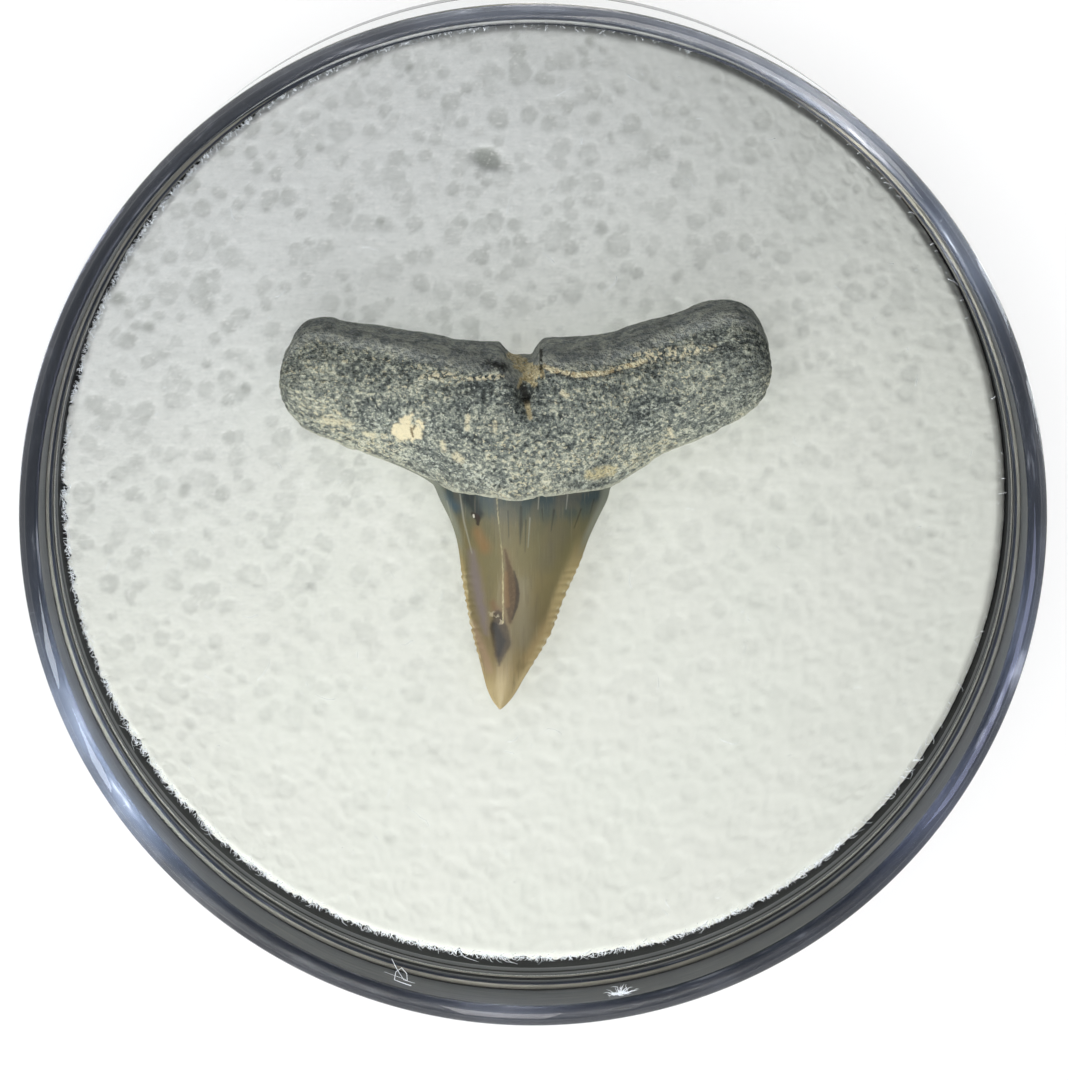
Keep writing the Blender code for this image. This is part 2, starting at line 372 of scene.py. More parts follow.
# ------------------------------------------------------------------ the tooth
TOOTH_X, TOOTH_Y, TOOTH_Z = -0.253, 0.32, 8.1
OUTLINE_K = 1.0108
CROWN_K = (1.0133, 1.0286)
ROOT_RUNGS = [
    ((-7.66, 3.56), (-7.66, 3.56)),
    ((-7.63, 3.99), (-7.64, 3.12)),
    ((-7.52, 4.34), (-7.55, 2.78)),
    ((-7.36, 4.62), (-7.39, 2.46)),
    ((-7.18, 4.96), (-7.14, 2.18)),
    ((-6.93, 5.26), (-6.83, 1.90)),
    ((-6.58, 5.41), (-6.46, 1.73)),
    ((-6.08, 5.43), (-5.99, 1.56)),
    ((-5.62, 5.30), (-5.52, 1.34)),
    ((-4.84, 5.21), (-4.77, 1.09)),
    ((-3.90, 5.07), (-3.90, 0.75)),
    ((-2.96, 4.95), (-2.96, 0.31)),
    ((-2.03, 4.77), (-2.18, 0.03)),
    ((-1.25, 4.73), (-1.40, -0.05)),
    ((-0.84, 4.73), (-0.87, -0.12)),
    ((-0.66, 4.56), (-0.62, -0.17)),
    ((-0.41, 4.32), (-0.37, -0.20)),
    ((-0.09, 4.29), (-0.06, -0.19)),
    ((0.22, 4.31), (0.22, -0.12)),
    ((0.37, 4.56), (0.47, -0.06)),
    ((0.62, 4.80), (0.78, -0.03)),
    ((1.25, 4.84), (1.40, 0.00)),
    ((2.03, 4.90), (2.03, 0.03)),
    ((2.81, 5.02), (2.71, 0.12)),
    ((3.59, 5.27), (3.46, 0.56)),
    ((4.52, 5.49), (4.37, 1.19)),
    ((5.46, 5.87), (5.40, 1.59)),
    ((6.08, 5.97), (6.15, 1.95)),
    ((6.61, 5.93), (6.77, 2.31)),
    ((7.02, 5.73), (7.18, 2.61)),
    ((7.30, 5.37), (7.43, 2.90)),
    ((7.49, 4.99), (7.57, 3.21)),
    ((7.61, 4.49), (7.66, 3.46)),
    ((7.69, 3.90), (7.69, 3.90)),
]
ROOT_MID_Z = 1.60
ROOT_BOTTOM_Z = 0.0
LOBE_TOP_Z = 3.10
TORUS_TOP_Z = 3.95
LOBE_RUNG = 3.80
CROWN_ROWS = [
    (1.16, -4.40, 3.50, 1.58, 0.70, 0.45),
    (0.93, -4.30, 3.62, 1.57, 0.86, 0.52),
    (0.70, -3.80, 3.56, 1.56, 1.00, 0.62),
    (0.45, -3.28, 3.26, 1.55, 1.12, 0.71),
    (0.22, -2.92, 2.84, 1.53, 1.19, 0.76),
    (0.09, -2.82, 2.68, 1.52, 1.22, 0.78),
    (-0.31, -2.65, 2.56, 1.49, 1.20, 0.77),
    (-0.94, -2.34, 2.25, 1.44, 1.12, 0.72),
    (-1.56, -2.14, 1.97, 1.39, 1.04, 0.66),
    (-2.18, -2.04, 1.75, 1.34, 0.96, 0.60),
    (-2.81, -1.97, 1.47, 1.29, 0.87, 0.54),
    (-3.43, -1.86, 1.19, 1.24, 0.78, 0.48),
    (-4.06, -1.75, 0.97, 1.19, 0.68, 0.41),
    (-4.68, -1.61, 0.70, 1.14, 0.57, 0.34),
    (-5.30, -1.44, 0.33, 1.08, 0.46, 0.27),
    (-5.93, -1.28, -0.06, 1.03, 0.33, 0.20),
    (-6.24, -1.19, -0.23, 1.01, 0.26, 0.16),
    (-6.55, -1.05, -0.44, 0.99, 0.17, 0.11),
    (-6.74, -0.92, -0.61, 0.98, 0.10, 0.07),
    (-6.84, -0.84, -0.72, 0.97, 0.05, 0.04),
]
CROWN_TIP = (-0.81, -6.88, 0.97)
GROOVE_U = 0.06
GROOVE_D = 0.70
LIP = 0.10


def spline(values, t):
    last = len(values) - 1
    x = min(max(t, 0.0), 1.0) * last
    i = min(int(x), last - 1)
    f = x - i
    p1, p2 = values[i], values[i + 1]
    p0 = values[i - 1] if i else p1
    p3 = values[i + 2] if i + 2 <= last else p2

    def one(a, b, c, d):
        return 0.5 * (2 * b + (c - a) * f + (2 * a - 5 * b + 4 * c - d) * f * f + (3 * b - a - 3 * c + d) * f ** 3)

    if isinstance(p1, tuple):
        return tuple(one(*q) for q in zip(p0, p1, p2, p3))
    return one(p0, p1, p2, p3)


def ease(a, b, x):
    t = min(max((x - a) / (b - a), 0.0), 1.0)
    return t * t * (3 - 2 * t)


def closed_loop(points, per_span):
    n, made = len(points), []
    for i in range(n):
        p0, p1, p2, p3 = (points[(i + k) % n] for k in (-1, 0, 1, 2))
        for j in range(per_span[i]):
            f = j / per_span[i]
            made.append(tuple(
                0.5 * (2 * b + (c - a) * f + (2 * a - 5 * b + 4 * c - d) * f * f + (3 * b - a - 3 * c + d) * f ** 3)
                for a, b, c, d in zip(p0, p1, p2, p3)))
    return made


def crown_top(u):
    _, left, right, edge, bulge, _ = CROWN_ROWS[5]
    x = (2 * u - left - right) / (right - left)
    return edge + bulge * max(0.0, 1 - x * x) ** 0.85


UPPER = 9   # the first spans of a section are the root's upper face


def root_section(t):
    u0, v0 = (OUTLINE_K * x for x in spline([r[0] for r in ROOT_RUNGS], t))
    u1, v1 = (OUTLINE_K * x for x in spline([r[1] for r in ROOT_RUNGS], t))
    rung = math.hypot(u1 - u0, v1 - v0)
    full = min(1.0, rung / LOBE_RUNG)
    full = full * (1.25 - 0.25 * full) if full < 1 else 1.0
    full = min(1.0, full)
    middle = 1 - ease(1.6, 5.2, abs(u0 + 0.1))
    top = ROOT_MID_Z + (LOBE_TOP_Z + (TORUS_TOP_Z - LOBE_TOP_Z) * middle - ROOT_MID_Z) * full
    low = ROOT_MID_Z + (ROOT_BOTTOM_Z + 0.12 * middle - ROOT_MID_Z) * full
    cut = GROOVE_D * math.exp(-((u0 - GROOVE_U) / 0.36) ** 2)
    under_crown = 1 - ease(2.3, 3.3, abs(u1 + 0.08))
    lip = ROOT_MID_Z + (max(crown_top(u1), ROOT_MID_Z) + LIP - ROOT_MID_Z) * under_crown * full
    lip = max(lip, ROOT_MID_Z - 0.02 * full)
    ridge = 0.22 + 0.16 * (1 - middle)
    side = low + 0.46 * (top - low)
    run = 1 - ridge
    fall = top - lip
    corner = 0.12 * full
    shape = [
        (0.000, side),
        (0.025, side + 0.52 * (top - side) - 0.6 * cut),
        (0.100, side + 0.86 * (top - side) - cut),
        (ridge, top - 0.8 * cut),
        (ridge + 0.28 * run, lip + 0.93 * fall),
        (ridge + 0.52 * run, lip + 0.74 * fall),
        (ridge + 0.76 * run, lip + 0.42 * fall),
        (0.955, lip + 0.10 * fall),
        (1.000, lip - corner),
        (0.985, low + 0.55 * (lip - low)),
        (0.930, low + 0.24 * (lip - low)),
        (0.800, low + 0.05 * (lip - low)),
        (0.500, low),
        (0.220, low + 0.04 * (side - low)),
        (0.060, low + 0.32 * (side - low)),
    ]
    spans = [10, 10, 14, 22, 20, 20, 20, 12, 10, 6, 6, 8, 8, 6, 6]
    made = []
    for w, z in closed_loop(shape, spans):
        made.append((u0 + (u1 - u0) * w, v0 + (v1 - v0) * w, z, w))
    return made


def notch(v, side):
    """How far a cutting edge stands out at v: fine notches along the middle of each edge."""
    lo, hi = ((-5.05, -2.35) if side < 0 else (-5.55, -2.05))
    amount = ease(lo - 0.35, lo + 0.25, v) * (1 - ease(hi - 0.5, hi + 0.35, v))
    pitch = 0.243 if side > 0 else 0.232
    x = v / pitch + (0.13 if side > 0 else 0.4) + 0.16 * math.sin(5.1 * v + side)
    f = x - math.floor(x)
    saw = f / 0.62 if f < 0.62 else (1 - f) / 0.38
    size = 0.62 + 0.38 * math.sin(11.7 * v + 2.0 * side) * math.sin(3.3 * v)
    return amount * size * 0.088 * (saw ** 0.8 - 0.55)


def crown_section(t, around):
    v, left, right, edge, up, down = spline(CROWN_ROWS, t)
    vv = v
    v *= CROWN_K[1]
    mid, half = CROWN_K[0] * (left + right) / 2, CROWN_K[0] * (right - left) / 2
    made = []
    for i in range(around):
        a = 2 * math.pi * i / around
        x = -math.cos(a)
        bow = max(0.0, 1 - x * x)
        # a thick middle and thin cutting margins
        z = edge + (up * (0.55 * bow ** 0.8 + 0.45 * bow ** 1.6) if math.sin(a) > 0 else -down * bow)
        near = ease(0.70, 1.0, abs(x))
        out = notch(vv, -1 if x < 0 else 1) * near * (1 if abs(x) > 0.5 else 0)
        made.append((mid + half * x + math.copysign(1, x) * out, v, z, abs(x)))
    return made


def loft_mesh(name, sections, start, end, flip=False):
    verts, extra = [], []
    rings = []
    for s in sections:
        rings.append(range(len(verts), len(verts) + len(s)))
        for p in s:
            verts.append((TOOTH_X + p[0], TOOTH_Y + p[1], TOOTH_Z + p[2]))
            extra.append(p[3])
    faces = []
    n = len(sections[0])
    for a, b in zip(rings, rings[1:]):
        for i in range(n):
            j = (i + 1) % n
            faces.append((a[i], a[j], b[j], b[i]))
    for ring, point in ((rings[0], start), (rings[-1], end)):
        if point is None:
            faces.append(tuple(ring))
        else:
            k = len(verts)
            verts.append((TOOTH_X + point[0], TOOTH_Y + point[1], TOOTH_Z + point[2]))
            extra.append(extra[ring[0]])
            for i in range(n):
                faces.append((ring[i], ring[(i + 1) % n], k))
    obj = mesh_object(name, verts, faces)
    work = bmesh.new()
    work.from_mesh(obj.data)
    bmesh.ops.recalc_face_normals(work, faces=work.faces)
    work.to_mesh(obj.data)
    work.free()
    return obj, np.array(verts), np.array(extra)


def build_tooth():
    spans = len(ROOT_RUNGS) - 1
    per = 9
    ts = [i / (spans * per) for i in range(1, spans * per)]
    ts = [0.25 / (spans * per), 0.5 / (spans * per)] + ts + [1 - 0.5 / (spans * per), 1 - 0.25 / (spans * per)]
    u, v = (OUTLINE_K * x for x in ROOT_RUNGS[0][0])
    u9, v9 = (OUTLINE_K * x for x in ROOT_RUNGS[-1][0])
    root, root_v, root_w = loft_mesh("tooth", [root_section(t) for t in ts], (u, v, ROOT_MID_Z), (u9, v9, ROOT_MID_Z))
    rows = (len(CROWN_ROWS) - 1) * 13
    crown, crown_v, crown_e = loft_mesh(
        "crown_part", [crown_section(i / rows, 108) for i in range(rows + 1)], None,
        (CROWN_K[0] * CROWN_TIP[0], CROWN_K[1] * CROWN_TIP[1], CROWN_TIP[2]))
    for o in (root, crown):
        o.data.materials.append(root_finish)
        o.data.materials.append(crown_finish)
    crown.data.polygons.foreach_set("material_index", [1] * len(crown.data.polygons))
    join = root.modifiers.new("join", "BOOLEAN")
    join.operation = "UNION"
    join.solver = "EXACT"
    join.object = crown
    crown.hide_render = True
    shape = bpy.data.meshes.new_from_object(root.evaluated_get(bpy.context.evaluated_depsgraph_get()))
    root.modifiers.clear()
    root.data = shape
    bpy.data.objects.remove(crown, do_unlink=True)
    root.name = "tooth_fine"

    co = np.empty(len(shape.vertices) * 3)
    shape.vertices.foreach_get("co", co)
    co = co.reshape(-1, 3) / MM
    # what each point is: from the part that it came from
    is_crown = np.zeros(len(co))
    for f in shape.polygons:
        if f.material_index == 1:
            for i in f.vertices:
                is_crown[i] = 1.0
    seam = np.zeros(len(co))
    for f in shape.polygons:
        if f.material_index == 0:
            for i in f.vertices:
                if is_crown[i]:
                    seam[i] = 1.0
    tree_r, tree_c = KDTree(len(root_v)), KDTree(len(crown_v))
    for i, p in enumerate(root_v):
        tree_r.insert(p, i)
    for i, p in enumerate(crown_v):
        tree_c.insert(p, i)
    tree_r.balance()
    tree_c.balance()
    across = np.array([1.0 if c else root_w[tree_r.find(p)[1]] for p, c in zip(co, is_crown)])
    edge = np.array([crown_e[tree_c.find(p)[1]] if c else 0.0 for p, c in zip(co, is_crown)])

    # the root's weathered skin, as real relief
    nor = np.empty(len(co) * 3)
    shape.vertices.foreach_get("normal", nor)
    nor = nor.reshape(-1, 3)
    bone = (1 - is_crown) * (1 - seam)
    big = fbm(co / 1.7, 3, 11) - 0.5
    mid = fbm(co / 0.42, 3, 23) - 0.5
    fine = fbm(co / 0.13, 2, 31) - 0.5
    along = co.copy()
    along[:, 0] *= 0.35
    along[:, 1] += 0.10 * np.abs(co[:, 0])
    grain = fbm(along * np.array([1.0, 7.0, 7.0]), 2, 41) - 0.5
    d1, d2, who = cells(co[:, :2] + 0.3 * co[:, 2:3], 0.62, 5)
    pits = -smooth(0.30, 0.05, d1) * (who > 0.72)
    lobes = smooth(3.2, 6.2, np.abs(co[:, 0]))
    smooth_strip = smooth(0.24, 0.12, across)
    push = (0.12 * big + (0.095 - 0.05 * smooth_strip) * mid + (0.050 - 0.02 * smooth_strip) * fine
            + 0.05 * lobes * grain + 0.05 * pits)
    # the crack beside the notch
    crack = at(541, 367, 11.3)
    push -= 0.16 * np.exp(-((co[:, 0] - crack.x) / 0.045) ** 2) * smooth(0.42, 0.18, np.abs(co[:, 1] - crack.y)) * smooth(10.2, 11.0, co[:, 2])
    hole = at(525, 392, 11.5)
    push -= 0.38 * np.exp(-(((co[:, 0] - hole.x) / 0.13) ** 2 + ((co[:, 1] - hole.y) / 0.19) ** 2)) * smooth(10.2, 11.0, co[:, 2])
    co += nor * (push * bone)[:, None]
    # the crown's faint growth ripples
    ripple = fbm(co * np.array([2.2, 0.35, 1.0]), 2, 71) - 0.5
    co += nor * (0.03 * ripple * is_crown * (1 - seam) * smooth(1.0, 0.8, edge))[:, None]
    co[:, 2] = np.maximum(co[:, 2], TOOTH_Z + 0.005)
    co[:, 2] = np.minimum(co[:, 2], cad_hi.z / MM)
    shape.vertices.foreach_set("co", (co * MM).astype(np.float32).ravel())
    shape.update()
    attribute(shape, "across", across)
    attribute(shape, "rim", edge)
    shape.polygons.foreach_set("use_smooth", [True] * len(shape.polygons))
    return carried(root, "fossil_tooth"), co


root_finish = bpy.data.materials.new("root_finish")
crown_finish = bpy.data.materials.new("crown_finish")
tooth, tooth_points = build_tooth()
bvh = BVHTree.FromObject(tooth, bpy.context.evaluated_depsgraph_get())


def on_tooth(px, py):
    """The point of the tooth's upper side that is seen there, in millimetres."""
    hit = bvh.ray_cast(EYE * MM, sight(px, py))[0]
    return hit / MM if hit is not None else at(px, py, 10.5)


def root_material():
    m = Mat("root_bone")
    across = m.attr("across")
    speck = m.noise(7.4, 3.0, 0.70)
    grit = m.noise(1.0, 2.0, 0.60, p=m.vec("ADD", m.vec("MULTIPLY", m.p, (7.4, 9.0, 8.0)), (3.1, 7.7, 1.3)))
    dark_grit = m.noise(1.0, 2.0, 0.60, p=m.vec("ADD", m.vec("MULTIPLY", m.p, (6.4, 8.0, 7.0)), (13.1, 2.7, 5.3)))
    blotch = m.noise(2.2, 3.0, 0.6, p=m.vec("ADD", m.p, (9.0, 2.0, 4.0)))
    large = m.noise(0.50, 2.0, 0.5, p=m.vec("ADD", m.p, (1.0, 5.0, 8.0)))
    place = m.t.nodes.new("ShaderNodeCombineXYZ")
    m.put(m.mul(m.x, 1.3), place.inputs[0])
    m.put(m.mul(across, 30.0), place.inputs[1])
    lines = m.noise(1.0, 2.0, 0.6, p=place.outputs[0])
    low_part = m.step(across, 0.50, 0.97)
    ends = m.step(m.math("ABSOLUTE", m.add(m.x, 0.25)), 4.4, 6.9)
    lightened_basal_face = m.step(m.add(across, m.mul(m.sub(blotch, 0.5), 0.10)), 0.13, 0.20, 1.0, 0.0)
    band = m.mul(m.step(across, 0.16, 0.24), m.step(across, 0.30, 0.42, 1.0, 0.0))
    tone = m.add(0.50, m.mul(m.sub(speck, 0.5), 2.2))
    tone = m.add(tone, m.mul(m.sub(blotch, 0.5), 0.85))
    tone = m.add(tone, m.mul(m.sub(large, 0.5), 0.60))
    tone = m.add(tone, m.mul(low_part, 0.09))
    tone = m.sub(tone, m.mul(band, 0.06))
    col = m.ramp(tone, [
        (0.10, lin(56, 60, 61)), (0.30, lin(88, 94, 95)), (0.48, lin(117, 123, 121)), (0.64, lin(145, 150, 143)),
        (0.80, lin(178, 181, 169)), (1.0, lin(214, 212, 197))])
    # painted light: the basal face along the top is painted a lighter, smoother grey to lift the shade it gets facing
    # away from the lamps
    smoother = m.add(0.5, m.mul(m.sub(speck, 0.5), 1.3))
    col = m.mix(m.mul(lightened_basal_face, 0.72), col, m.mix(m.step(m.add(smoother, m.sub(blotch, 0.5)), 0.25, 0.80), lin(146, 152, 156), lin(206, 208, 202)))
    # light and dark grains: fewer on the basal face, more light ones low down
    many = m.add(m.mul(low_part, 0.050), m.mul(ends, -0.015))
    many = m.add(many, m.mul(m.sub(blotch, 0.5), 0.16))
    white = m.step(m.add(grit, many), 0.590, 0.650)
    white = m.mul(white, m.math("MULTIPLY_ADD", lightened_basal_face, -0.75, 1.0))
    col = m.mix(m.mul(white, 0.68), col, m.mix(m.step(large, 0.40, 0.60), lin(206, 211, 203), lin(220, 211, 182)))
    black = m.step(m.add(m.sub(dark_grit, m.mul(band, 0.05)), m.mul(m.sub(blotch, 0.5), 0.14)), 0.410, 0.355)
    black = m.mul(black, m.math("MULTIPLY_ADD", lightened_basal_face, -0.60, 1.0))
    col = m.mix(m.mul(black, 0.62), col, lin(48, 52, 53))
    # fine lines that follow the outline
    near_edge = m.math("MAXIMUM", m.mul(ends, 0.8), m.step(across, 0.86, 0.96))
    near_edge = m.math("MAXIMUM", near_edge, m.mul(m.step(across, 0.14, 0.05), 0.8))
    col = m.mix(m.mul(near_edge, m.step(lines, 0.50, 0.62), 0.50), col, lin(78, 80, 76))
    col = m.mix(m.mul(near_edge, m.step(lines, 0.50, 0.40), 0.34), col, lin(178, 178, 164))
    shaken = m.shaken(5.5, 0.16, 3.0)
    finely = m.shaken(14.0, 0.055, 2.0)
    cream, tan, dark = lin(232, 221, 192), lin(200, 184, 148), lin(26, 25, 23)

    def p(x, y):
        return on_tooth(x, y)

    # the sediment line along the edge of the basal face, and its crumbs
    track = [p(541, 363), p(552, 369), p(562, 371), p(575, 374), p(590, 373), p(605, 372), p(622, 366), p(634, 364), p(646, 360)]
    under = m.path([q + Vector((0, -0.07, 0)) for q in track], [0.04, 0.05, 0.06, 0.05, 0.05, 0.05, 0.05, 0.04, 0.03], 0.04, finely)
    col = m.mix(m.mul(under, 0.55), col, lin(52, 46, 38))
    line = m.path(track, [0.06, 0.09, 0.06, 0.08, 0.09, 0.06, 0.07, 0.08, 0.05], 0.035, finely)
    line = m.mul(line, m.step(m.noise(6.0, 2.0), 0.33, 0.43))
    crumbs = m.path([p(634, 357), p(650, 355), p(668, 353), p(690, 350), p(714, 346)], [0.14, 0.20, 0.20, 0.14, 0.06], 0.08, finely)
    crumbs = m.mul(crumbs, m.step(m.noise(8.0, 2.0), 0.50, 0.57))
    left = m.path([p(422, 376), p(432, 377), p(446, 373), p(456, 376), p(474, 378), p(490, 376), p(502, 375)],
                  [0.05, 0.10, 0.10, 0.05, 0.05, 0.09, 0.08], 0.05, finely)
    left = m.mul(left, m.step(m.noise(7.0, 2.0), 0.46, 0.54))
    col = m.mix(m.mul(line, 0.92), col, m.mix(m.step(speck, 0.38, 0.55), lin(184, 166, 132), lin(238, 228, 198)))
    col = m.mix(m.mul(m.most(crumbs, left), 0.88), col, lin(232, 222, 194))
    # painted shade: darker places along it
    shade = m.most(m.seg(p(484, 363), p(502, 369), 0.16, 0.20, 0.14, shaken), m.seg(p(356, 357), p(372, 362), 0.14, 0.14, 0.16, shaken),
                   m.seg(p(447, 388), p(470, 392), 0.12, 0.14, 0.16, shaken), m.seg(p(640, 345), p(648, 343), 0.10, 0.12, 0.12, shaken))
    col = m.mix(m.mul(shade, m.step(speck, 0.62, 0.42), 0.60), col, lin(40, 42, 40))
    # sediment in the notch
    fill = m.most(m.seg(p(518, 364), p(538, 372), 0.16, 0.20, 0.05, shaken), m.seg(p(510, 354), p(524, 362), 0.09, 0.14, 0.05, shaken),
                  m.seg(p(527, 375), p(534, 383), 0.15, 0.09, 0.05, shaken))
    fill = m.mul(fill, m.step(m.noise(8.0, 2.0), 0.30, 0.40))
    col = m.mix(m.mul(fill, 0.90), col, m.mix(m.step(speck, 0.40, 0.58), lin(178, 160, 122), lin(236, 222, 184)))
    bits = m.most(m.seg(p(527, 402), p(530, 417), 0.09, 0.07, 0.04, finely), m.seg(p(521, 378), p(519, 386), 0.06, 0.06, 0.03, finely))
    col = m.mix(m.mul(bits, 0.8), col, tan)
    # painted shade: near black in the crack, the hole and the gap left of the notch
    gap = m.most(m.seg(p(541, 350), p(541, 371), 0.06, 0.035, 0.03, finely), m.seg(p(523, 386), p(527, 400), 0.13, 0.10, 0.05, finely),
                 m.seg(p(488, 361), p(503, 366), 0.06, 0.09, 0.08, shaken))
    gap = m.mul(gap, m.step(m.noise(6.0, 1.0), 0.22, 0.36))
    col = m.mix(m.mul(gap, 0.90), col, dark)
    # the cream patch low on the left, and paler spots
    patch = m.most(m.seg(p(400, 430), p(415, 432), 0.26, 0.24, 0.05, shaken), m.seg(p(406, 421), p(411, 414), 0.20, 0.06, 0.05, shaken),
                   m.seg(p(418, 421), p(423, 425), 0.12, 0.10, 0.05, shaken), m.seg(p(404, 437), p(397, 435), 0.10, 0.08, 0.05, shaken),
                   m.seg(p(412, 435), p(413, 440), 0.10, 0.05, 0.04, shaken))
    col = m.mix(m.mul(patch, m.step(m.noise(9.0, 2.0), 0.28, 0.40, 0.70, 1.0)), col, cream)
    col = m.mix(m.mul(m.most(m.seg(p(411, 427), p(413, 435), 0.035, 0.045, 0.03, finely), m.seg(p(416, 424), p(413, 428), 0.02, 0.03, 0.02, finely)), 0.85),
                col, lin(96, 78, 48))
    spots = m.most(m.seg(p(366, 433), p(374, 435), 0.11, 0.09, 0.05, finely), m.seg(p(443, 442), p(444, 449), 0.09, 0.08, 0.05, finely),
                   m.seg(p(468, 416), p(467, 428), 0.08, 0.08, 0.04, finely), m.seg(p(456, 455), p(461, 459), 0.14, 0.12, 0.07, finely),
                   m.seg(p(495, 421), p(495, 430), 0.06, 0.05, 0.05, finely), m.seg(p(563, 392), p(567, 395), 0.09, 0.08, 0.05, finely),
                   m.seg(p(669, 429), p(672, 436), 0.08, 0.05, 0.05, finely), m.seg(p(324, 419), p(350, 423), 0.10, 0.08, 0.14, shaken),
                   m.seg(p(338, 412), p(340, 413), 0.06, 0.05, 0.04, finely))
    col = m.mix(m.mul(spots, m.step(grit, 0.40, 0.50, 0.25, 0.85)), col, lin(220, 212, 186))
    yellow = m.seg(p(589, 474), p(610, 470), 0.16, 0.20, 0.10, shaken)
    col = m.mix(m.mul(yellow, m.step(grit, 0.38, 0.52, 0.30, 0.85)), col, lin(206, 194, 156))
    hem = m.step(m.add(across, m.mul(m.sub(speck, 0.5), 0.03)), 0.972, 0.992)
    col = m.mix(m.mul(hem, 0.65), col, lin(186, 186, 172))
    col = m.mix(1.0, col, (1.03, 1.04, 0.98), "MULTIPLY")
    m.set(Base_Color=col, Roughness=m.math("MULTIPLY_ADD", speck, -0.15, 0.90), Specular_IOR_Level=0.28)
    relief = m.add(m.mul(speck, 1.0), m.mul(grit, 0.8))
    m.set(Normal=m.bump(relief, 0.00009, 1.0))
    return m.m


def crown_material():
    m = Mat("crown_enamel")
    rim = m.attr("rim")

    def p(x, y):
        return on_tooth(x, y)

    low, high = p(500, 706).y, p(500, 497).y
    streak = m.noise(1.0, 3.0, 0.6, p=m.vec("MULTIPLY", m.p, (6.0, 0.55, 1.0)))
    hair = m.noise(1.0, 2.0, 0.6, p=m.vec("MULTIPLY", m.p, (20.0, 0.8, 1.0)))
    cloud = m.noise(1.1, 2.0, 0.5, p=m.vec("MULTIPLY", m.p, (1.8, 0.8, 1.0)))
    fine = m.noise(14.0, 3.0, 0.6)
    finely = m.shaken(10.0, 0.030, 2.0)
    shaken = m.shaken(3.5, 0.08, 2.0)
    # 0 at the tip, 1 at the collar
    t = m.math("MULTIPLY_ADD", m.y, 1.0 / (high - low), -low / (high - low))
    t = m.add(t, m.mul(m.sub(streak, 0.5), 0.10))
    t = m.add(t, m.mul(m.sub(hair, 0.5), 0.05))
    col = m.ramp(t, [
        (0.00, lin(200, 184, 142)), (0.11, lin(194, 177, 136)), (0.20, lin(164, 148, 110)), (0.31, lin(138, 127, 95)),
        (0.50, lin(142, 131, 98)), (0.74, lin(134, 127, 94)), (0.87, lin(116, 114, 90)), (0.925, lin(90, 99, 94)),
        (0.98, lin(70, 84, 90))])
    col = m.mix(m.mul(m.step(cloud, 0.42, 0.62), 0.40), col, m.mix(0.5, col, lin(158, 140, 104)))
    teal = m.seg(p(444, 496), p(456, 506), 0.14, 0.16, 0.12, shaken)
    col = m.mix(m.mul(teal, 0.75), col, lin(76, 98, 116))
    murk = m.seg(p(469, 495), p(478, 512), 0.22, 0.17, 0.10, shaken)
    col = m.mix(m.mul(murk, 0.85), col, lin(30, 40, 42))
    under_spot = m.seg(p(478, 531), p(485, 547), 0.14, 0.18, 0.16, shaken)
    col = m.mix(m.mul(under_spot, 0.75), col, lin(160, 126, 88))
    olive = m.seg(p(560, 530), p(546, 562), 0.36, 0.30, 0.28, shaken)
    col = m.mix(m.mul(olive, 0.55), col, lin(120, 116, 96))
    pale = m.seg(p(522, 585), p(527, 640), 0.26, 0.24, 0.28, shaken)
    col = m.mix(m.mul(pale, 0.60), col, lin(156, 149, 128))
    # painted highlight: the lavender-grey soft sheen on the left of the crown
    lavender_sheen = m.path([p(472, 552), p(476, 580), p(482, 610), p(486, 632)], [0.10, 0.17, 0.15, 0.06], 0.16, shaken)
    col = m.mix(m.mul(lavender_sheen, 0.85), col, lin(146, 135, 142))
    pink = m.path([p(472, 622), p(481, 645), p(489, 668)], [0.10, 0.14, 0.12], 0.12, shaken)
    col = m.mix(m.mul(pink, 0.80), col, lin(184, 160, 136))
    buff = m.path([p(560, 600), p(544, 632), p(528, 658)], [0.10, 0.20, 0.16], 0.18, shaken)
    col = m.mix(m.mul(buff, 0.75), col, lin(194, 172, 130))
    # soft vertical streaks
    col = m.mix(m.mul(m.step(streak, 0.54, 0.72), 0.28), col, lin(96, 94, 82))
    col = m.mix(m.mul(m.step(hair, 0.57, 0.74), 0.22), col, lin(186, 178, 154))
    # cream cutting margins
    is_right = m.step(m.add(m.x, m.mul(m.sub(m.y, p(500, 600).y), -0.13)), p(505, 600).x - 0.1, p(505, 600).x + 0.1)
    wide = m.step(m.add(rim, m.mul(m.sub(streak, 0.5), 0.14)), 0.70, 0.86)
    slim = m.step(m.add(rim, m.mul(m.sub(streak, 0.5), 0.10)), 0.90, 0.97)
    margin = m.math("ADD", m.mul(is_right, wide), m.mul(m.sub(1.0, is_right), slim), clamp=True)
    margin = m.mul(margin, m.step(m.y, p(500, 530).y, p(500, 580).y))
    col = m.mix(m.mul(margin, 0.80), col, lin(206, 188, 144))
    # the see-through grey margin beside the collar
    grey = m.mul(m.step(rim, 0.86, 0.96), m.step(m.y, p(500, 566).y, p(500, 530).y))
    col = m.mix(m.mul(grey, 0.70), col, lin(158, 164, 156))
    beads = m.mul(m.step(rim, 0.90, 0.97), m.step(m.noise(6.5, 1.0), 0.50, 0.60), m.step(m.y, p(500, 566).y, p(500, 590).y),
                  m.step(m.y, p(500, 676).y, p(500, 662).y))
    col = m.mix(m.mul(beads, 0.80), col, lin(232, 222, 194))
    ring = m.mul(m.step(rim, 0.945, 0.975), m.step(m.y, p(500, 650).y, p(500, 668).y))
    col = m.mix(m.mul(ring, 0.45), col, lin(150, 126, 88))
    # the brown spot; the white glint on it is a painted highlight, laid on further down
    spot = m.most(m.seg(p(473, 513), p(477, 516), 0.07, 0.10, 0.035, finely), m.seg(p(478, 517), p(478, 523), 0.09, 0.05, 0.035, finely))
    col = m.mix(m.mul(spot, 0.92), col, lin(50, 36, 26))
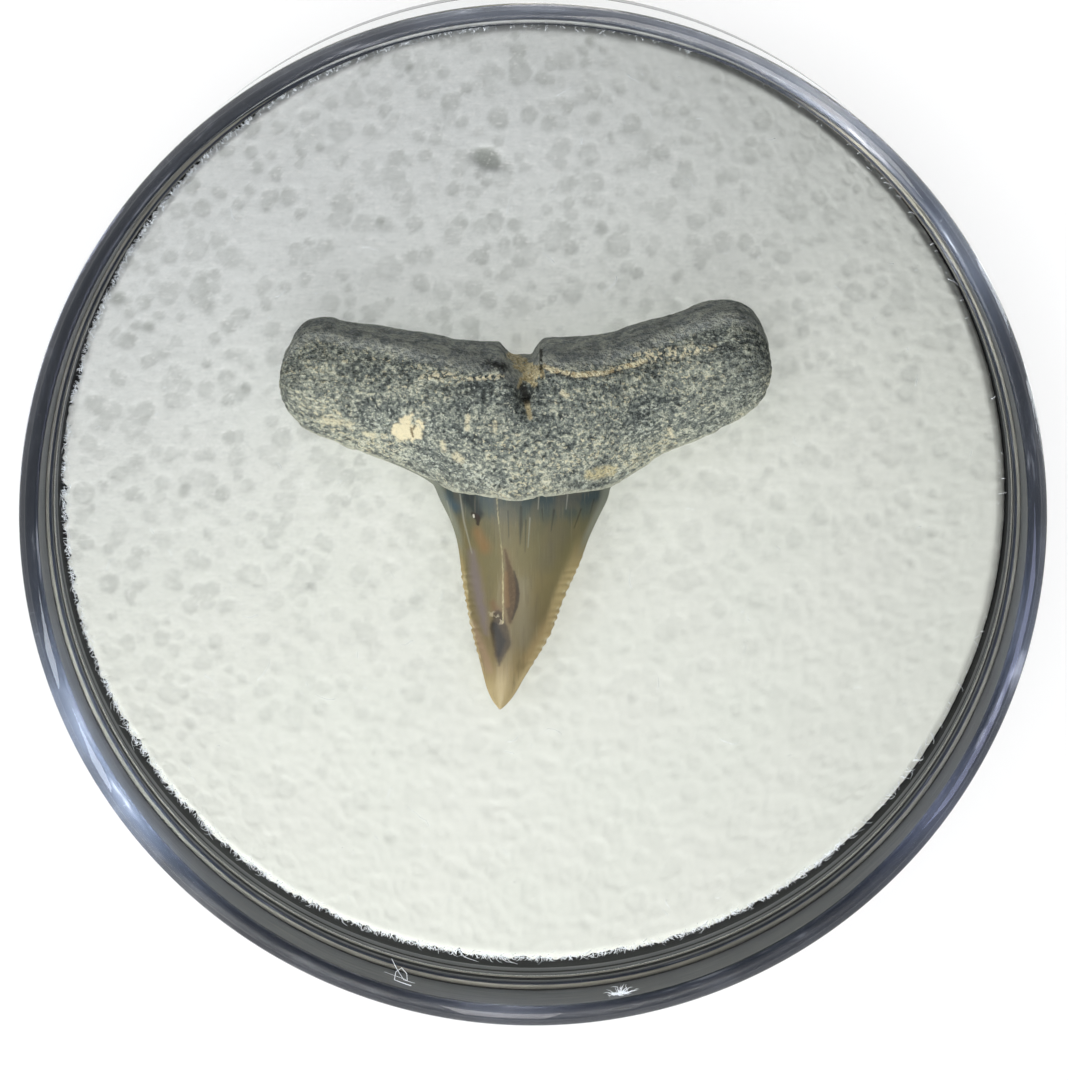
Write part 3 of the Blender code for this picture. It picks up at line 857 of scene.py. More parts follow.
    # the brown inclusion in the middle
    halo = m.path([p(506, 550), p(510, 590), p(503, 622), p(499, 655)], [0.09, 0.24, 0.22, 0.14], 0.14, shaken)
    col = m.mix(m.mul(halo, 0.50), col, lin(142, 120, 90))
    brown = m.path([p(505, 549), p(508, 562), p(511, 578), p(512, 592), p(511, 606), p(510, 621)],
                   [0.03, 0.07, 0.15, 0.20, 0.16, 0.05], 0.05, finely)
    col = m.mix(m.mul(brown, m.step(fine, 0.30, 0.55, 0.72, 0.95)), col, lin(98, 76, 50))
    amber = m.seg(p(506, 572), p(507, 604), 0.05, 0.08, 0.06, finely)
    col = m.mix(m.mul(amber, 0.65), col, lin(148, 116, 78))
    arc_line = m.path([p(514, 570), p(517, 582), p(518, 594), p(516, 607), p(512, 618)], [0.02, 0.05, 0.06, 0.05, 0.02], 0.035, finely)
    col = m.mix(m.mul(arc_line, 0.85), col, lin(58, 46, 34))
    rust = m.seg(p(493, 602), p(499, 616), 0.10, 0.13, 0.10, shaken)
    col = m.mix(m.mul(rust, 0.75), col, lin(140, 110, 82))
    # and the darker one below it
    core = m.path([p(498, 614), p(499, 628), p(502, 642), p(500, 652), p(499, 664)], [0.16, 0.29, 0.29, 0.18, 0.02], 0.07, finely)
    col = m.mix(m.mul(core, m.step(fine, 0.28, 0.50, 0.74, 0.94)), col, lin(74, 62, 42))
    black = m.most(m.seg(p(495, 624), p(500, 638), 0.12, 0.15, 0.09, finely), m.seg(p(501, 640), p(499, 654), 0.16, 0.06, 0.08, finely))
    col = m.mix(m.mul(black, 0.88), col, lin(28, 25, 18))
    flakes = m.mul(m.seg(p(492, 612), p(501, 620), 0.10, 0.10, 0.06, finely), m.step(m.noise(9.0, 1.0), 0.52, 0.58))
    col = m.mix(m.mul(flakes, 0.75), col, lin(206, 196, 172))
    # hair-thin light and dark lines along the crown
    light_line = m.path([p(497, 497), p(498, 515), p(500, 532), p(502, 552), p(503, 572), p(503, 598), p(503, 622)],
                        [0.016, 0.014, 0.016, 0.012, 0.012, 0.020, 0.018], 0.020, finely)
    broken = m.step(m.noise(1.0, 2.0, 0.6, p=m.vec("MULTIPLY", m.p, (1.0, 4.0, 1.0))), 0.36, 0.56, 0.30, 1.0)
    col = m.mix(m.mul(light_line, broken, m.step(t, 0.55, 0.84, 0.85, 0.60)), col, lin(236, 226, 184))
    other = m.most(m.path([p(460, 493), p(464, 520), p(472, 552)], [0.016, 0.026, 0.016], 0.028),
                   m.seg(p(530, 517), p(528, 546), 0.018, 0.010, 0.030), m.seg(p(539, 494), p(538, 508), 0.020, 0.012, 0.022),
                   m.seg(p(568, 491), p(566, 508), 0.022, 0.012, 0.022), m.seg(p(447, 500), p(452, 520), 0.012, 0.010, 0.025))
    col = m.mix(m.mul(other, 0.60), col, lin(190, 190, 184))
    dark_line = m.most(m.path([p(521, 506), p(521, 524), p(520, 543)], [0.034, 0.046, 0.010], 0.045),
                       m.seg(p(526, 519), p(525, 551), 0.016, 0.008, 0.026), m.seg(p(554, 509), p(551, 530), 0.034, 0.010, 0.034),
                       m.seg(p(581, 508), p(574, 527), 0.026, 0.010, 0.030), m.seg(p(508, 510), p(509, 536), 0.016, 0.008, 0.026),
                       m.seg(p(542, 508), p(543, 520), 0.018, 0.008, 0.024), m.seg(p(594, 498), p(590, 512), 0.018, 0.008, 0.024))
    col = m.mix(m.mul(dark_line, 0.76), col, lin(54, 56, 48))
    # painted highlight: the white glint on the brown spot
    col = m.mix(m.mul(m.seg(p(473.6, 514), p(474, 516), 0.030, 0.026, 0.015), 0.95), col, lin(246, 246, 242))
    col = m.mix(1.0, col, m.mix(m.step(t, 0.10, 0.24), (0.78, 0.765, 0.72), m.mix(m.step(t, 0.30, 0.62), (0.655, 0.635, 0.57), (0.725, 0.715, 0.63))), "MULTIPLY")
    m.set(Base_Color=col, Roughness=m.math("MULTIPLY_ADD", fine, 0.20, 0.30), Specular_IOR_Level=0.26,
          Coat_Weight=0.06, Coat_Roughness=0.14, Coat_IOR=1.5, Subsurface_Weight=0.10, Subsurface_Scale=0.0003,
          Subsurface_Radius=(1.0, 0.8, 0.6))
    relief = m.add(m.mul(fine, 0.20), m.mul(hair, 0.5))
    m.set(Normal=m.bump(relief, 0.00002, 0.6))
    return m.m


tooth.data.materials[0] = root_material()
tooth.data.materials[1] = crown_material()

# ------------------------------------------------------------------ the foam pad
FOAM_R, FOAM_Z, FOAM_LOW = 15.04, 7.98, 1.5


def foam_surface(xy):
    """Height of the foam's top, and the painted shade of the cells' hollows at each point."""
    three = np.c_[xy, np.zeros(len(xy))]
    warp = np.c_[fbm(three / 0.45, 3, 3), fbm(three / 0.45, 3, 4)] - 0.5
    spots = np.zeros(len(xy))
    for size, seed, share, small, large, strength in ((1.15, 51, 0.72, 0.18, 0.34, 0.75), (0.80, 61, 0.62, 0.20, 0.36, 0.70),
                                                      (1.90, 71, 0.30, 0.08, 0.12, 1.20), (0.60, 83, 0.40, 0.22, 0.36, 0.65)):
        d, _, who = cells(xy + 0.22 * warp, size, seed, 0.95)
        k = (who / share * 7.31) % 1.0
        radius = small + (large - small) * k
        flat = 0.86 * smooth(radius + 0.05, radius - 0.07, d) + 0.20 * smooth(0.11, 0.0, np.abs(d - radius + 0.05))
        one = (who < share) * flat * (0.40 + 0.60 * ((k * 13.7) % 1.0)) * strength
        spots = np.maximum(spots, one)
    fuzz = fbm(three / 0.30, 3, 99) - 0.5
    waves = fbm(three / 3.0, 2, 81) - 0.5
    rough = fbm(three / 0.20, 3, 91) - 0.5
    z = FOAM_Z + 0.06 * waves - 0.030 * spots + 0.035 * rough
    hollow_shade = spots * (0.90 + 0.7 * fuzz) + 0.35 * fuzz
    # the dent left of the middle near the top, darkened with painted shade
    c = at(487, 158, FOAM_Z)
    e = ((xy[:, 0] - c.x) * 0.94 - (xy[:, 1] - c.y) * 0.34) / 0.56, ((xy[:, 0] - c.x) * 0.34 + (xy[:, 1] - c.y) * 0.94) / 0.38
    dent = smooth(1.20, 0.60, np.hypot(e[0], e[1]) + 0.35 * (fbm(three / 0.22, 2, 95) - 0.5))
    z -= 0.10 * dent
    hollow_shade = np.maximum(hollow_shade, 1.45 * dent)
    r = np.hypot(xy[:, 0], xy[:, 1])
    z -= 0.26 * smooth(FOAM_R - 0.28, FOAM_R + 0.08, r) ** 1.5
    return z, hollow_shade


def build_foam():
    n = 306
    g = np.linspace(-1, 1, n)
    gx, gy = np.meshgrid(g, g, indexing="ij")
    x = gx * np.sqrt(1 - gy ** 2 / 2)
    y = gy * np.sqrt(1 - gx ** 2 / 2)
    jig = 0.25 / n
    inner = (np.abs(gx) < 0.999) & (np.abs(gy) < 0.999)
    ids = np.arange(n * n).reshape(n, n)
    three = np.c_[gx.ravel() * 400, gy.ravel() * 400, np.zeros(n * n)]
    x = x + inner * jig * (vnoise(three, 1).reshape(n, n) - 0.5) * 2
    y = y + inner * jig * (vnoise(three, 2).reshape(n, n) - 0.5) * 2
    xy = np.c_[x.ravel(), y.ravel()] * FOAM_R
    # a ragged edge
    r = np.hypot(xy[:, 0], xy[:, 1])
    ang = np.arctan2(xy[:, 1], xy[:, 0])
    ragged = fbm(np.c_[np.cos(ang) * 62, np.sin(ang) * 62, np.zeros(len(r))], 3, 15, 0.75) - 0.5
    slow = fbm(np.c_[np.cos(ang) * 12, np.sin(ang) * 12, np.zeros(len(r))], 2, 25) - 0.5
    side = smooth(-0.55, 0.45, np.cos(ang - math.radians(35)))
    k = 1 + smooth(14.45, FOAM_R, r) * (np.clip(0.034 * ragged, -0.011, 0.006) * (1 - 0.92 * side) + 0.006 * slow * (1 - side) - 0.0030 + 0.0055 * side)
    k = np.minimum(k, 15.09 / FOAM_R)
    xy *= k[:, None]
    z, hollow_shade = foam_surface(xy)
    verts = np.c_[xy, z]
    faces = []
    for i in range(n - 1):
        a = ids[i]
        b = ids[i + 1]
        faces.extend(zip(a[:-1].tolist(), b[:-1].tolist(), b[1:].tolist(), a[1:].tolist()))
    border = list(ids[0, :-1]) + list(ids[:-1, -1]) + list(ids[-1, :0:-1]) + list(ids[:0:-1, 0])
    m = len(border)
    levels = (7.0, 5.0, 3.0, FOAM_LOW + 0.3, FOAM_LOW)
    ring = border
    base = len(verts)
    out = [verts]
    for k, lz in enumerate(levels):
        p = verts[border].copy()
        rr = np.hypot(p[:, 0], p[:, 1])[:, None]
        target = FOAM_R - 0.12 - 0.02 * k if lz > FOAM_LOW else FOAM_R - 0.45
        p[:, :2] *= target / rr
        p[:, 2] = lz
        out.append(p)
        new = list(range(base, base + m))
        for i in range(m):
            j = (i + 1) % m
            faces.append((int(ring[i]), int(ring[j]), new[j], new[i]))
        ring = new
        base += m
    out.append(np.array([[0.0, 0.0, FOAM_LOW]]))
    for i in range(m):
        faces.append((ring[i], ring[(i + 1) % m], base))
    verts = np.vstack(out)
    obj = mesh_object("foam_pad_cells", verts, faces)
    work = bmesh.new()
    work.from_mesh(obj.data)
    bmesh.ops.recalc_face_normals(work, faces=work.faces)
    work.to_mesh(obj.data)
    work.free()
    attribute(obj.data, "hollow_shade", np.r_[hollow_shade, np.full(len(verts) - len(hollow_shade), 0.3)])
    return carried(obj, "foam_pad")


def foam_material():
    m = Mat("open_cell_foam")
    hollow_shade = m.attr("hollow_shade")
    tint = m.noise(0.25, 2.0, 0.5)
    grain = m.noise(7.0, 3.0, 0.65)
    hairs = m.noise(1.0, 2.0, 0.6, p=m.vec("MULTIPLY", m.p, (3.2, 11.0, 3.0)))
    col = m.mix(tint, lin(245, 246, 240), lin(240, 244, 236))
    # painted shade: greyer and bluish towards the upper left, away from the lamps, where the cells' painted shade is
    # strongest too; near white low down
    away = m.add(m.mul(m.y, 0.95), m.mul(m.x, -0.36))
    col = m.mix(m.step(away, -2.0, 13.0), col, lin(236, 239, 240))
    painted_shade_contrast = m.step(away, -11.0, 9.0, 0.09, 0.66)
    # painted shade in the cells' hollows and the dent, scaled up towards the upper left
    col = m.mix(m.mul(hollow_shade, painted_shade_contrast), col, lin(164, 168, 164))
    fine = m.add(m.mul(m.sub(grain, 0.5), 1.0), m.mul(m.sub(hairs, 0.5), 0.9))
    col = m.mix(m.mul(m.step(fine, 0.0, 0.30), painted_shade_contrast, 0.55), col, lin(206, 210, 210))
    col = m.mix(m.mul(m.step(fine, -0.05, -0.32), painted_shade_contrast, 0.8), col, lin(255, 255, 255))
    # painted shade along the upper right edge of the foam
    corner = m.step(m.add(m.mul(m.x, 0.64), m.mul(m.y, 0.77)), 7.5, 17.0)
    col = m.mix(m.mul(corner, 0.60), col, lin(210, 213, 208))
    col = m.mix(1.0, col, (0.935, 0.935, 0.925), "MULTIPLY")
    m.set(Base_Color=col, Roughness=1.0, Specular_IOR_Level=0.15, Sheen_Weight=0.10, Sheen_Roughness=0.6)
    return m.m


foam = build_foam()
foam.data.materials.append(foam_material())


def strands(name, lines, radius, sides=3):
    """Thin tapered tubes along lists of points, joined as one mesh."""
    verts, faces = [], []
    for k, line in enumerate(lines):
        pts = np.array(line, float)
        tan = np.gradient(pts, axis=0)
        tan /= np.linalg.norm(tan, axis=1)[:, None] + 1e-9
        ref = np.array([0.3, 0.2, 0.93])
        a = np.cross(tan, ref)
        a /= np.linalg.norm(a, axis=1)[:, None] + 1e-9
        b = np.cross(tan, a)
        r0 = radius[k] if isinstance(radius, (list, np.ndarray)) else radius
        first = len(verts)
        for i in range(len(pts)):
            f = i / (len(pts) - 1)
            r = r0 * (1 - 0.75 * f ** 2)
            for s in range(sides):
                w = 2 * math.pi * s / sides
                verts.append(pts[i] + r * (math.cos(w) * a[i] + math.sin(w) * b[i]))
        for i in range(len(pts) - 1):
            for s in range(sides):
                t = (s + 1) % sides
                p, q = first + i * sides, first + (i + 1) * sides
                faces.append((p + s, p + t, q + t, q + s))
        faces.append(tuple(first + s for s in range(sides))[::-1])
        last = first + (len(pts) - 1) * sides
        faces.append(tuple(last + s for s in range(sides)))
    return mesh_object(name, verts, faces)


def edge_fibres():
    rnd = np.random.default_rng(7)
    lines, radii = [], []

    def hair(p, yaw, pitch, length, steps, bend, radius):
        line = [p]
        for _ in range(steps):
            d = np.array([math.cos(yaw) * math.cos(pitch), math.sin(yaw) * math.cos(pitch), math.sin(pitch)])
            q = line[-1] + d * length / steps
            rr = math.hypot(q[0], q[1])
            if rr > 15.10:
                q[:2] *= 15.10 / rr
            line.append(q)
            yaw += rnd.normal(0, bend)
            pitch += rnd.normal(0, bend * 0.6)
        lines.append(line)
        radii.append(radius)

    # short bristles that make the edge fuzzy, thickest along the left
    for _ in range(8800):
        a = rnd.uniform(0, 2 * math.pi)
        deg = math.degrees(a)
        if rnd.uniform() > (1.0 if 95 < deg < 312 else 0.30 if 70 < deg < 325 else 0.06):
            continue
        r = FOAM_R - rnd.uniform(0.02, 0.30)
        p = np.array([r * math.cos(a), r * math.sin(a), FOAM_Z - 0.05 - rnd.uniform(0, 0.30)])
        hair(p, a + rnd.normal(0, 0.9), rnd.normal(0.30, 0.40), rnd.uniform(0.07, 0.26), 2, 0.25, rnd.uniform(0.008, 0.017))
    # longer straw-like ones that lean over the gap
    for _ in range(520):
        a = rnd.uniform(0, 2 * math.pi)
        deg = math.degrees(a)
        if rnd.uniform() > (0.9 if 205 < deg < 335 else 0.22 if 100 < deg <= 205 else 0.04):
            continue
        r = FOAM_R - rnd.uniform(0.05, 0.30)
        p = np.array([r * math.cos(a), r * math.sin(a), FOAM_Z - 0.12])
        yaw = a + rnd.choice((-1, 1)) * abs(rnd.normal(0.75, 0.40))
        hair(p, yaw, rnd.uniform(0.40, 1.05), rnd.gamma(5.0, 0.10), 4, 0.08, rnd.uniform(0.007, 0.013))
    # loose ones lying on the foam
    for _ in range(110):
        r, a = 14.3 * math.sqrt(rnd.uniform()), rnd.uniform(0, 2 * math.pi)
        p = np.array([r * math.cos(a), r * math.sin(a), FOAM_Z + 0.02])
        hair(p, rnd.uniform(0, 2 * math.pi), 0.05, rnd.gamma(3.0, 0.12), 6, 0.4, rnd.uniform(0.005, 0.009))
    return lines, radii


def fibre_material():
    m = Mat("foam_fibre_glow")
    tint = m.noise(2.0, 1.0)
    # the bluish emission is a painted glow that makes the fibres read brighter than their lighting gives
    m.set(Base_Color=m.mix(tint, lin(246, 249, 253), lin(236, 240, 244)), Roughness=0.7, Specular_IOR_Level=0.3,
          Emission_Color=(0.80, 0.88, 1.0), Emission_Strength=0.16)
    return m.m


fibre_finish = fibre_material()
lines, radii = edge_fibres()
fuzz = strands("foam_edge_fibres", lines, radii)
fuzz.data.materials.append(fibre_finish)
carried(fuzz, None)


def stray_fibres():
    """A long looped fibre and a small tuft, both caught inside the lid's wall."""
    rnd = np.random.default_rng(21)
    lines, radii = [], []
    loop = [(407, 1001), (398, 992), (394, 980), (396, 970), (402, 966), (407, 972), (406, 984), (400, 994), (390, 998), (378, 990)]
    lines.append([np.array(at(x, y, 14.2 - 0.12 * i)) for i, (x, y) in enumerate(loop)])
    radii.append(0.013)
    lines.append([np.array(at(x, y, 13.6)) for x, y in ((392, 957), (397, 967), (404, 978), (409, 990), (410, 1003))])
    radii.append(0.010)
    c = np.array(at(622, 994, 14.3))
    for _ in range(60):
        d = rnd.normal(size=3) * np.array([1.0, 0.8, 0.6])
        d /= np.linalg.norm(d)
        p = c + rnd.normal(size=3) * np.array([0.10, 0.09, 0.06])
        line = [p]
        step = rnd.uniform(0.04, 0.11)
        for _ in range(5):
            q = line[-1] + d * step
            rr = math.hypot(q[0], q[1])
            if rr > 15.25:
                q[:2] *= 15.25 / rr
            q[2] = min(q[2], 14.93)
            line.append(q)
            d = d + rnd.normal(size=3) * 0.45
            d /= np.linalg.norm(d)
        lines.append(line)
        radii.append(rnd.uniform(0.010, 0.018))
    for line in lines:
        for q in line:
            rr = math.hypot(q[0], q[1])
            if rr > 15.25:
                q[:2] *= 15.25 / rr
    return lines, radii


lines, radii = stray_fibres()
stray = strands("stray_fibres", lines, radii, 4)
stray.data.materials.append(fibre_finish)
carried(stray, None)

# ------------------------------------------------------------------ the jar
JAR_R, JAR_H, SHOULDER_Z = 15.875, 15.9, 4.5
NECK_R, NECK_IN_R, LEDGE_Z, LEDGE_R, NECK_Z = 15.50, 15.12, 11.7, 15.28, 14.9
FLOOR_T, LID_IN_R, LID_TOP_T, LID_Z, EDGE_R = 1.2, 15.56, 0.9, 4.8, 0.60
TURN = 288
OUTSIDE, INSIDE, SATIN, GLINT_LINE = range(4)


def build_base():
    wall, ledge = NECK_IN_R, LEDGE_R
    profile = [(0.0, FLOOR_T, INSIDE), (wall - 0.35, FLOOR_T, INSIDE)]
    profile += [(*q, INSIDE) for q in arc(wall - 0.3, FLOOR_T + 0.3, 0.3, -90, 0, 5)]
    # moulded lines round the inside of the neck; the light grey finish on the narrowest one and on the ledge's edge is
    # a painted highlight
    profile += [(wall, 8.95, INSIDE), (wall - 0.006, 9.00, SATIN), (wall - 0.006, 9.55, SATIN), (wall, 9.60, INSIDE), (wall, 9.90, INSIDE),
                (wall - 0.012, 9.96, SATIN), (wall - 0.012, 10.40, SATIN), (wall, 10.46, INSIDE), (wall, 10.52, INSIDE),
                (wall - 0.030, 10.56, GLINT_LINE), (wall - 0.030, 10.72, GLINT_LINE), (wall, 10.76, INSIDE), (wall, 11.24, INSIDE),
                (wall - 0.006, 11.28, SATIN), (wall - 0.006, LEDGE_Z - 0.06, SATIN)]
    profile += [(*q, SATIN) for q in arc(wall + 0.05, LEDGE_Z - 0.05, 0.05, 180, 90, 3)]
    profile += [(ledge - 0.09, LEDGE_Z, GLINT_LINE), (ledge - 0.03, LEDGE_Z + 0.015, GLINT_LINE), (ledge - 0.008, LEDGE_Z + 0.10, GLINT_LINE),
                (ledge, LEDGE_Z + 0.20, INSIDE), (ledge, LEDGE_Z + 0.50, SATIN), (ledge, NECK_Z - 0.09, SATIN)]
    profile += [(*q, OUTSIDE) for q in arc(ledge + 0.08, NECK_Z - 0.08, 0.08, 180, 90, 6)]
    profile += [(*q, OUTSIDE) for q in arc(NECK_R - 0.08, NECK_Z - 0.08, 0.08, 90, 0, 6)]
    profile += [(NECK_R, NECK_Z - 0.12), (NECK_R, SHOULDER_Z + 0.12)]
    profile += arc(NECK_R + 0.08, SHOULDER_Z + 0.08, 0.08, 180, 270, 3)
    profile += [(JAR_R - 0.18, SHOULDER_Z)]
    profile += arc(JAR_R - 0.14, SHOULDER_Z - 0.14, 0.14, 90, 0, 5)
    profile += [(JAR_R, SHOULDER_Z - 0.18), (JAR_R, 0.54)]
    profile += arc(JAR_R - 0.5, 0.5, 0.5, 0, -90, 10)
    profile += [(JAR_R - 0.52, 0.0), (0.0, 0.0)]
    return carried(revolve("jar_base_cup", profile, TURN), "jar_base")


def build_lid():
    top = JAR_H
    profile = [(0.0, top), (JAR_R - EDGE_R - 0.03, top)]
    profile += arc(JAR_R - EDGE_R, top - EDGE_R, EDGE_R, 90, 0, 16)
    profile += [(JAR_R, top - EDGE_R - 0.03), (JAR_R, LID_Z + 0.12)]
    profile += arc(JAR_R - 0.1, LID_Z + 0.1, 0.1, 0, -90, 4)
    profile += arc(LID_IN_R + 0.1, LID_Z + 0.1, 0.1, -90, -180, 4)
    profile += [(LID_IN_R, LID_Z + 0.13), (LID_IN_R, top - LID_TOP_T - 0.06)]
    profile += arc(LID_IN_R - 0.04, top - LID_TOP_T - 0.04, 0.04, 0, 90, 4)
    profile += [(LID_IN_R - 0.06, top - LID_TOP_T), (0.0, top - LID_TOP_T)]
    return carried(revolve("jar_lid_clear", profile, TURN), "jar_lid")


def black_material(name, rough, level, dark, light, lines=0.5):
    """Black plastic with fine rubbed lines that run round the jar."""
    m = Mat(name)
    haze = m.noise(0.35, 3.0, 0.6)
    round_it = m.vec("SCALE", m.vec("NORMALIZE", m.flat), scale=5.0)
    outward = m.mul(m.add(m.vec("LENGTH", m.flat), m.mul(m.z, 1.37)), 9.0)
    turn = m.t.nodes.new("ShaderNodeCombineXYZ")
    m.put(outward, turn.inputs[2])
    rub = m.noise(1.0, 3.0, 0.65, p=m.vec("ADD", round_it, turn.outputs[0]))
    dust = m.mul(m.step(m.noise(14.0, 2.0, 0.6), 0.70, 0.76), 0.5)
    col = m.mix(m.math("ADD", m.mul(haze, 0.5), m.step(rub, 0.45, 0.75, 0.0, lines), clamp=True), lin(*dark), lin(*light))
    col = m.mix(m.mul(m.step(rub, 0.60, 0.72), lines, m.step(m.z, 7.0, 14.0, 0.22, 1.0)), col, lin(104, 106, 112))
    col = m.mix(dust, col, lin(110, 112, 114))
    m.set(Base_Color=col, Roughness=m.math("MULTIPLY_ADD", m.step(rub, 0.35, 0.7), 0.12, rough), Specular_IOR_Level=level)
    m.set(Normal=m.bump(m.noise(0.8, 2.0, 0.4), 0.00003, 0.25))
    return m.m


def clear_material():
    m = Mat("clear_polystyrene")
    tint = m.noise(0.12, 1.0)
    m.set(Base_Color=m.mix(tint, (0.982, 0.988, 0.988), (0.988, 0.992, 0.992)), Roughness=0.0, IOR=1.57, Transmission_Weight=1.0)
    return m.m


base = build_base()
for finish in (black_material("black_gloss", 0.14, 0.36, (24, 27, 33), (46, 50, 58), 0.8),
               black_material("black_matt_inside", 0.62, 0.05, (18, 19, 20), (30, 31, 32), 0.3),
               black_material("black_satin", 0.34, 0.10, (20, 23, 29), (42, 46, 54), 0.8),
               # the light grey of this finish is a painted highlight on the thin moulded lines
               black_material("black_line_painted_glint", 0.12, 0.50, (70, 70, 66), (120, 118, 108))):
    base.data.materials.append(finish)
lid = build_lid()
lid.data.materials.append(clear_material())
lid.visible_shadow = False
lid.visible_diffuse = False

# ------------------------------------------------------------------ floor, light, camera
scene = bpy.context.scene


def build_floor():
    obj = mesh_object("floor", [(-9000, -9000, 0), (9000, -9000, 0), (9000, 9000, 0), (-9000, 9000, 0)], [(0, 1, 2, 3)], False)
    m = Mat("pale_floor")
    n = m.noise(0.02, 2.0)
    m.set(Base_Color=m.mix(n, (0.90, 0.90, 0.90), (0.92, 0.92, 0.92)), Roughness=0.9, Specular_IOR_Level=0.1)
    obj.data.materials.append(m.m)
    return obj


floor = build_floor()


def lamp(name, kind, direction, energy, colour=(1, 1, 1), size=0.1, distance=0.3, spread=None, size_y=None):
    """A light off in that direction from the jar, pointing at it."""
    data = bpy.data.lights.new(name, kind)
    data.energy = energy
    data.color = colour
    d = Vector(direction).normalized()
    obj = bpy.data.objects.new(name, data)
    target = Vector((0, 0, 0.010))
    obj.location = target + d * distance
    obj.rotation_mode = "QUATERNION"
    obj.rotation_quaternion = (-d).to_track_quat("-Z", "Y")
    if kind == "AREA":
        data.shape = "RECTANGLE"
        data.size = size
        data.size_y = size_y or size
        if spread:
            data.spread = spread
        obj.visible_camera = False
    else:
        data.angle = size
    scene.collection.objects.link(obj)
    return obj


key = lamp("key_sun", "SUN", (0.16, -0.60, 0.86), 0.12, (1.0, 0.995, 0.98), math.radians(36))
soft = lamp("soft_box", "AREA", (-0.26, -0.78, 0.60), 0.105, (1.0, 1.0, 0.985), 0.11, 0.098, size_y=0.07)
shading = lamp("soft_box_shading", "AREA", (-0.06, -0.76, 0.64), 0.026, (1.0, 1.0, 0.985), 0.12, 0.098, size_y=0.10)
over = lamp("overhead", "AREA", (-0.42, 0.30, 0.86), 0.024, (1.0, 1.0, 1.0), 0.12, 0.120, size_y=0.10)
over.visible_glossy = False
floor_light = lamp("floor_sun", "SUN", (0.02, -0.1, 1.0), 1.95, (1.0, 1.0, 1.0), math.radians(100))
floor_shade = lamp("floor_shade", "SUN", (0.02, -0.1, 1.0), 0.85, (1.0, 1.0, 1.0), math.radians(100))


def polar(azimuth, elevation):
    a, e = math.radians(azimuth), math.radians(elevation)
    return (math.cos(a) * math.cos(e), math.sin(a) * math.cos(e), math.sin(e))


def glow(azimuth, milliwatts, colour, reach, radius=15.75, width=0.9, lean=0.0):
    """A small lamp just above the rim, which brightens the rim there and no mirror."""
    name = "glow_%d_%d" % (azimuth, round(radius))
    data = bpy.data.lights.new(name, "AREA")
    data.energy = milliwatts * 0.001
    data.color = colour
    data.shape = "ELLIPSE"
    data.size, data.size_y = width * MM, 1.4 * MM
    obj = bpy.data.objects.new(name, data)
    a, e = math.radians(azimuth), math.radians(lean)
    obj.location = (radius * math.cos(a) * MM, radius * math.sin(a) * MM, (JAR_H + reach) * MM)
    obj.rotation_mode = "QUATERNION"
    obj.rotation_quaternion = Vector((math.cos(a) * math.sin(e), math.sin(a) * math.sin(e), -math.cos(e))).to_track_quat("-Z", "Y")
    obj.visible_camera = False
    obj.visible_glossy = False
    obj.visible_transmission = False
    scene.collection.objects.link(obj)
    return obj


rim_lights = [
    lamp("cool_side", "AREA", polar(334, 38), 0.09, (0.66, 0.70, 1.0), 0.09, 0.20, size_y=0.10),
    lamp("left_strip_a", "AREA", polar(203, 42), 0.040, (0.90, 0.95, 1.0), 0.016, 0.20, size_y=0.13),
    lamp("left_strip_b", "AREA", polar(216, 42), 0.036, (0.90, 0.95, 1.0), 0.014, 0.20, size_y=0.13),
    lamp("warm_low", "AREA", polar(267, 34), 0.022, (1.0, 0.95, 0.92), 0.030, 0.20, size_y=0.11),
    lamp("pale_top", "AREA", polar(60, 34), 0.13, (1.0, 0.97, 0.90), 0.14, 0.20, size_y=0.09),
]
# azimuth, colour, then the power above the rim, the height there, and the power of the one inside it
for azimuth, colour, outer, height, inner in (
        (203, (0.90, 0.95, 1.0), 0.20, 0.5, 1.3), (216, (0.86, 0.93, 1.0), 0.17, 0.5, 1.3),
        (267, (1.0, 0.95, 0.94), 0.08, 1.2, 0.4), (324, (0.80, 0.82, 1.0), 0.08, 3.0, 0.4), (347, (0.76, 0.82, 1.0), 0.07, 3.0, 0.3),
        (32, (0.88, 0.93, 1.0), 0.30, 3.0, 0.4), (54, (1.0, 0.95, 0.86), 0.75, 3.0, 1.2), (74, (1.0, 0.95, 0.87), 0.95, 3.0, 0.0),
        (94, (1.0, 0.96, 0.90), 0.90, 3.0, 0.0)):
    rim_lights.append(glow(azimuth, outer, colour, height))
    if inner:
        rim_lights.append(glow(azimuth, inner, colour, 1.0, radius=14.1, lean=35.0))


def only_on(lights, name, pieces):
    group = bpy.data.collections.new(name)
    for o in pieces:
        group.objects.link(o)
    for o in lights:
        o.light_linking.receiver_collection = group


only_on(rim_lights, "jar_only", [lid, base])
only_on([floor_light, floor_shade], "floor_only", [floor])
only_on([key, soft, shading], "inside_the_lid", [base, foam, tooth, fuzz, stray])


# the light reaches the foam past the neck; the soft box's reaches behind the tooth too, and the wide floor light everywhere
base.visible_shadow = False
for wide in (soft, floor_light):
    wide.data.use_shadow = False
for wide in (key, soft, shading, over, floor_light, floor_shade):
    wide.data.cycles.use_multiple_importance_sampling = False

floor.visible_glossy = False

